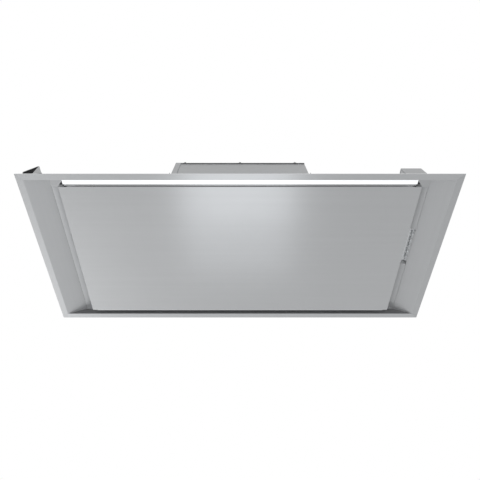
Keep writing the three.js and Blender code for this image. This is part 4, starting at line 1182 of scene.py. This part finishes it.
def hinge_heads():
    """Heads and collars on the hinge pins, and rivets in the hinge brackets."""
    head = [(3.3, -0.1), (3.5, 0.3), (3.3, 0.9), (2.2, 1.2)]
    collar = [(1.7, 0), (3.4, 0), (3.4, 0.7), (1.7, 0.7)]
    heads = Form()
    for side in SIDES:
        low, high = span(f"hinge_pin_{side}")
        y, z = (low.y + high.y) / 2, (low.z + high.z) / 2
        heads.turned(head, facing((high.x - 0.3, y, z), (1, 0, 0)), 24)
        heads.tube(collar, facing((low.x + 0.9, y, z), (-1, 0, 0)), 24)
        low, high = span(f"hinge_clevis_{side}")
        for x in (low.x + 5, high.x - 5):
            blind_rivet(heads, facing((x, y, low.z + 1.2)), 2.6)
    heads.done("hinge_heads", STEEL, "steel", "door")


def catch_plates():
    """Steel pole plates on the magnetic catches."""
    width = 2.2
    plates = Form()
    for side in SIDES:
        low, high = span(f"door_catch_{side}")
        for y in (low.y + width, high.y - 2 * width):
            plates.block((low.x + 2, y, low.z - 0.25), (high.x - 2, y + width, low.z + 0.3), 0.1)
    plates.done("catch_plates", STEEL, "steel")


# ---- Studio ---------------------------------------------------------------------------------------

FLOOR = -1.6


def sky():
    """White where the camera and the metal look, and a softer light on the hood."""
    world = bpy.data.worlds.new("studio")
    world.use_nodes = True
    tree = world.node_tree
    tree.nodes.clear()
    path = node(tree, "ShaderNodeLightPath").outputs
    seen = larger(tree, path["Is Camera Ray"], path["Is Glossy Ray"])
    seen = larger(tree, seen, path["Is Transmission Ray"])
    soft = node(tree, "ShaderNodeBackground", {"Color": (0.98, 0.99, 1.0, 1), "Strength": 0.56})
    white = node(tree, "ShaderNodeBackground", {"Color": (1, 1, 1, 1), "Strength": 1.0})
    mix = node(tree, "ShaderNodeMixShader", {0: seen, 1: soft.outputs[0], 2: white.outputs[0]})
    node(tree, "ShaderNodeOutputWorld", {"Surface": mix.outputs[0]})
    bpy.context.scene.world = world


def studio():
    """The floor, the lamps above and beside the hood, and two soft glows under its door."""
    bpy.ops.mesh.primitive_plane_add(size=14, location=(0, 0, FLOOR))
    floor = bpy.context.object
    floor.name = "floor"
    floor.data.materials.append(pale_floor())
    lamp("ceiling_lamp", (-0.2, 2.4, 2.2), (0, 0.4, FLOOR), (2.6, 1.7), 36)
    lamp("floor_lamp", (-2.55, 1.7, -0.7), (-2.55, 1.7, FLOOR), (1.9, 2.2), 17)
    lamp("right_floor_lamp", (2.5, 1.5, -0.8), (2.5, 1.5, FLOOR), (1.3, 1.6), 1.8)
    for name, y, z, size, power, colour in (
        ("door_glow_near", -0.07, -0.43, (0.45, 0.32), 0.138, (0.96, 0.98, 1.0)),
        ("door_glow_far", 0.1, -0.45, (0.46, 0.5), 0.172, (0.93, 0.96, 1.0)),
    ):
        lamp(name, (-0.005, y, z), (-0.005, y, 0.0), size, power, colour)


camera()
sky()
studio()
dress_solids()
roof_screws()
box_rivets()
cover_nuts()
sealant()
spigot_screws()
spigot_seal()
damper_bushes()
for side in SIDES:
    filter_fabric(side)
    filter_rivets(side)
    latch_ridges(side)
terminal_screws()
electronics_fittings()
bracket_nuts()
bracket_shade_pads()
rim_seal()
light_end_caps()
light_diodes()
guard_lips()
far_gap_shade_sheet()
button_signs()
spot_welds()
hinge_heads()
catch_plates()
side_stays()

scene = bpy.context.scene
scene.view_settings.view_transform = "Standard"
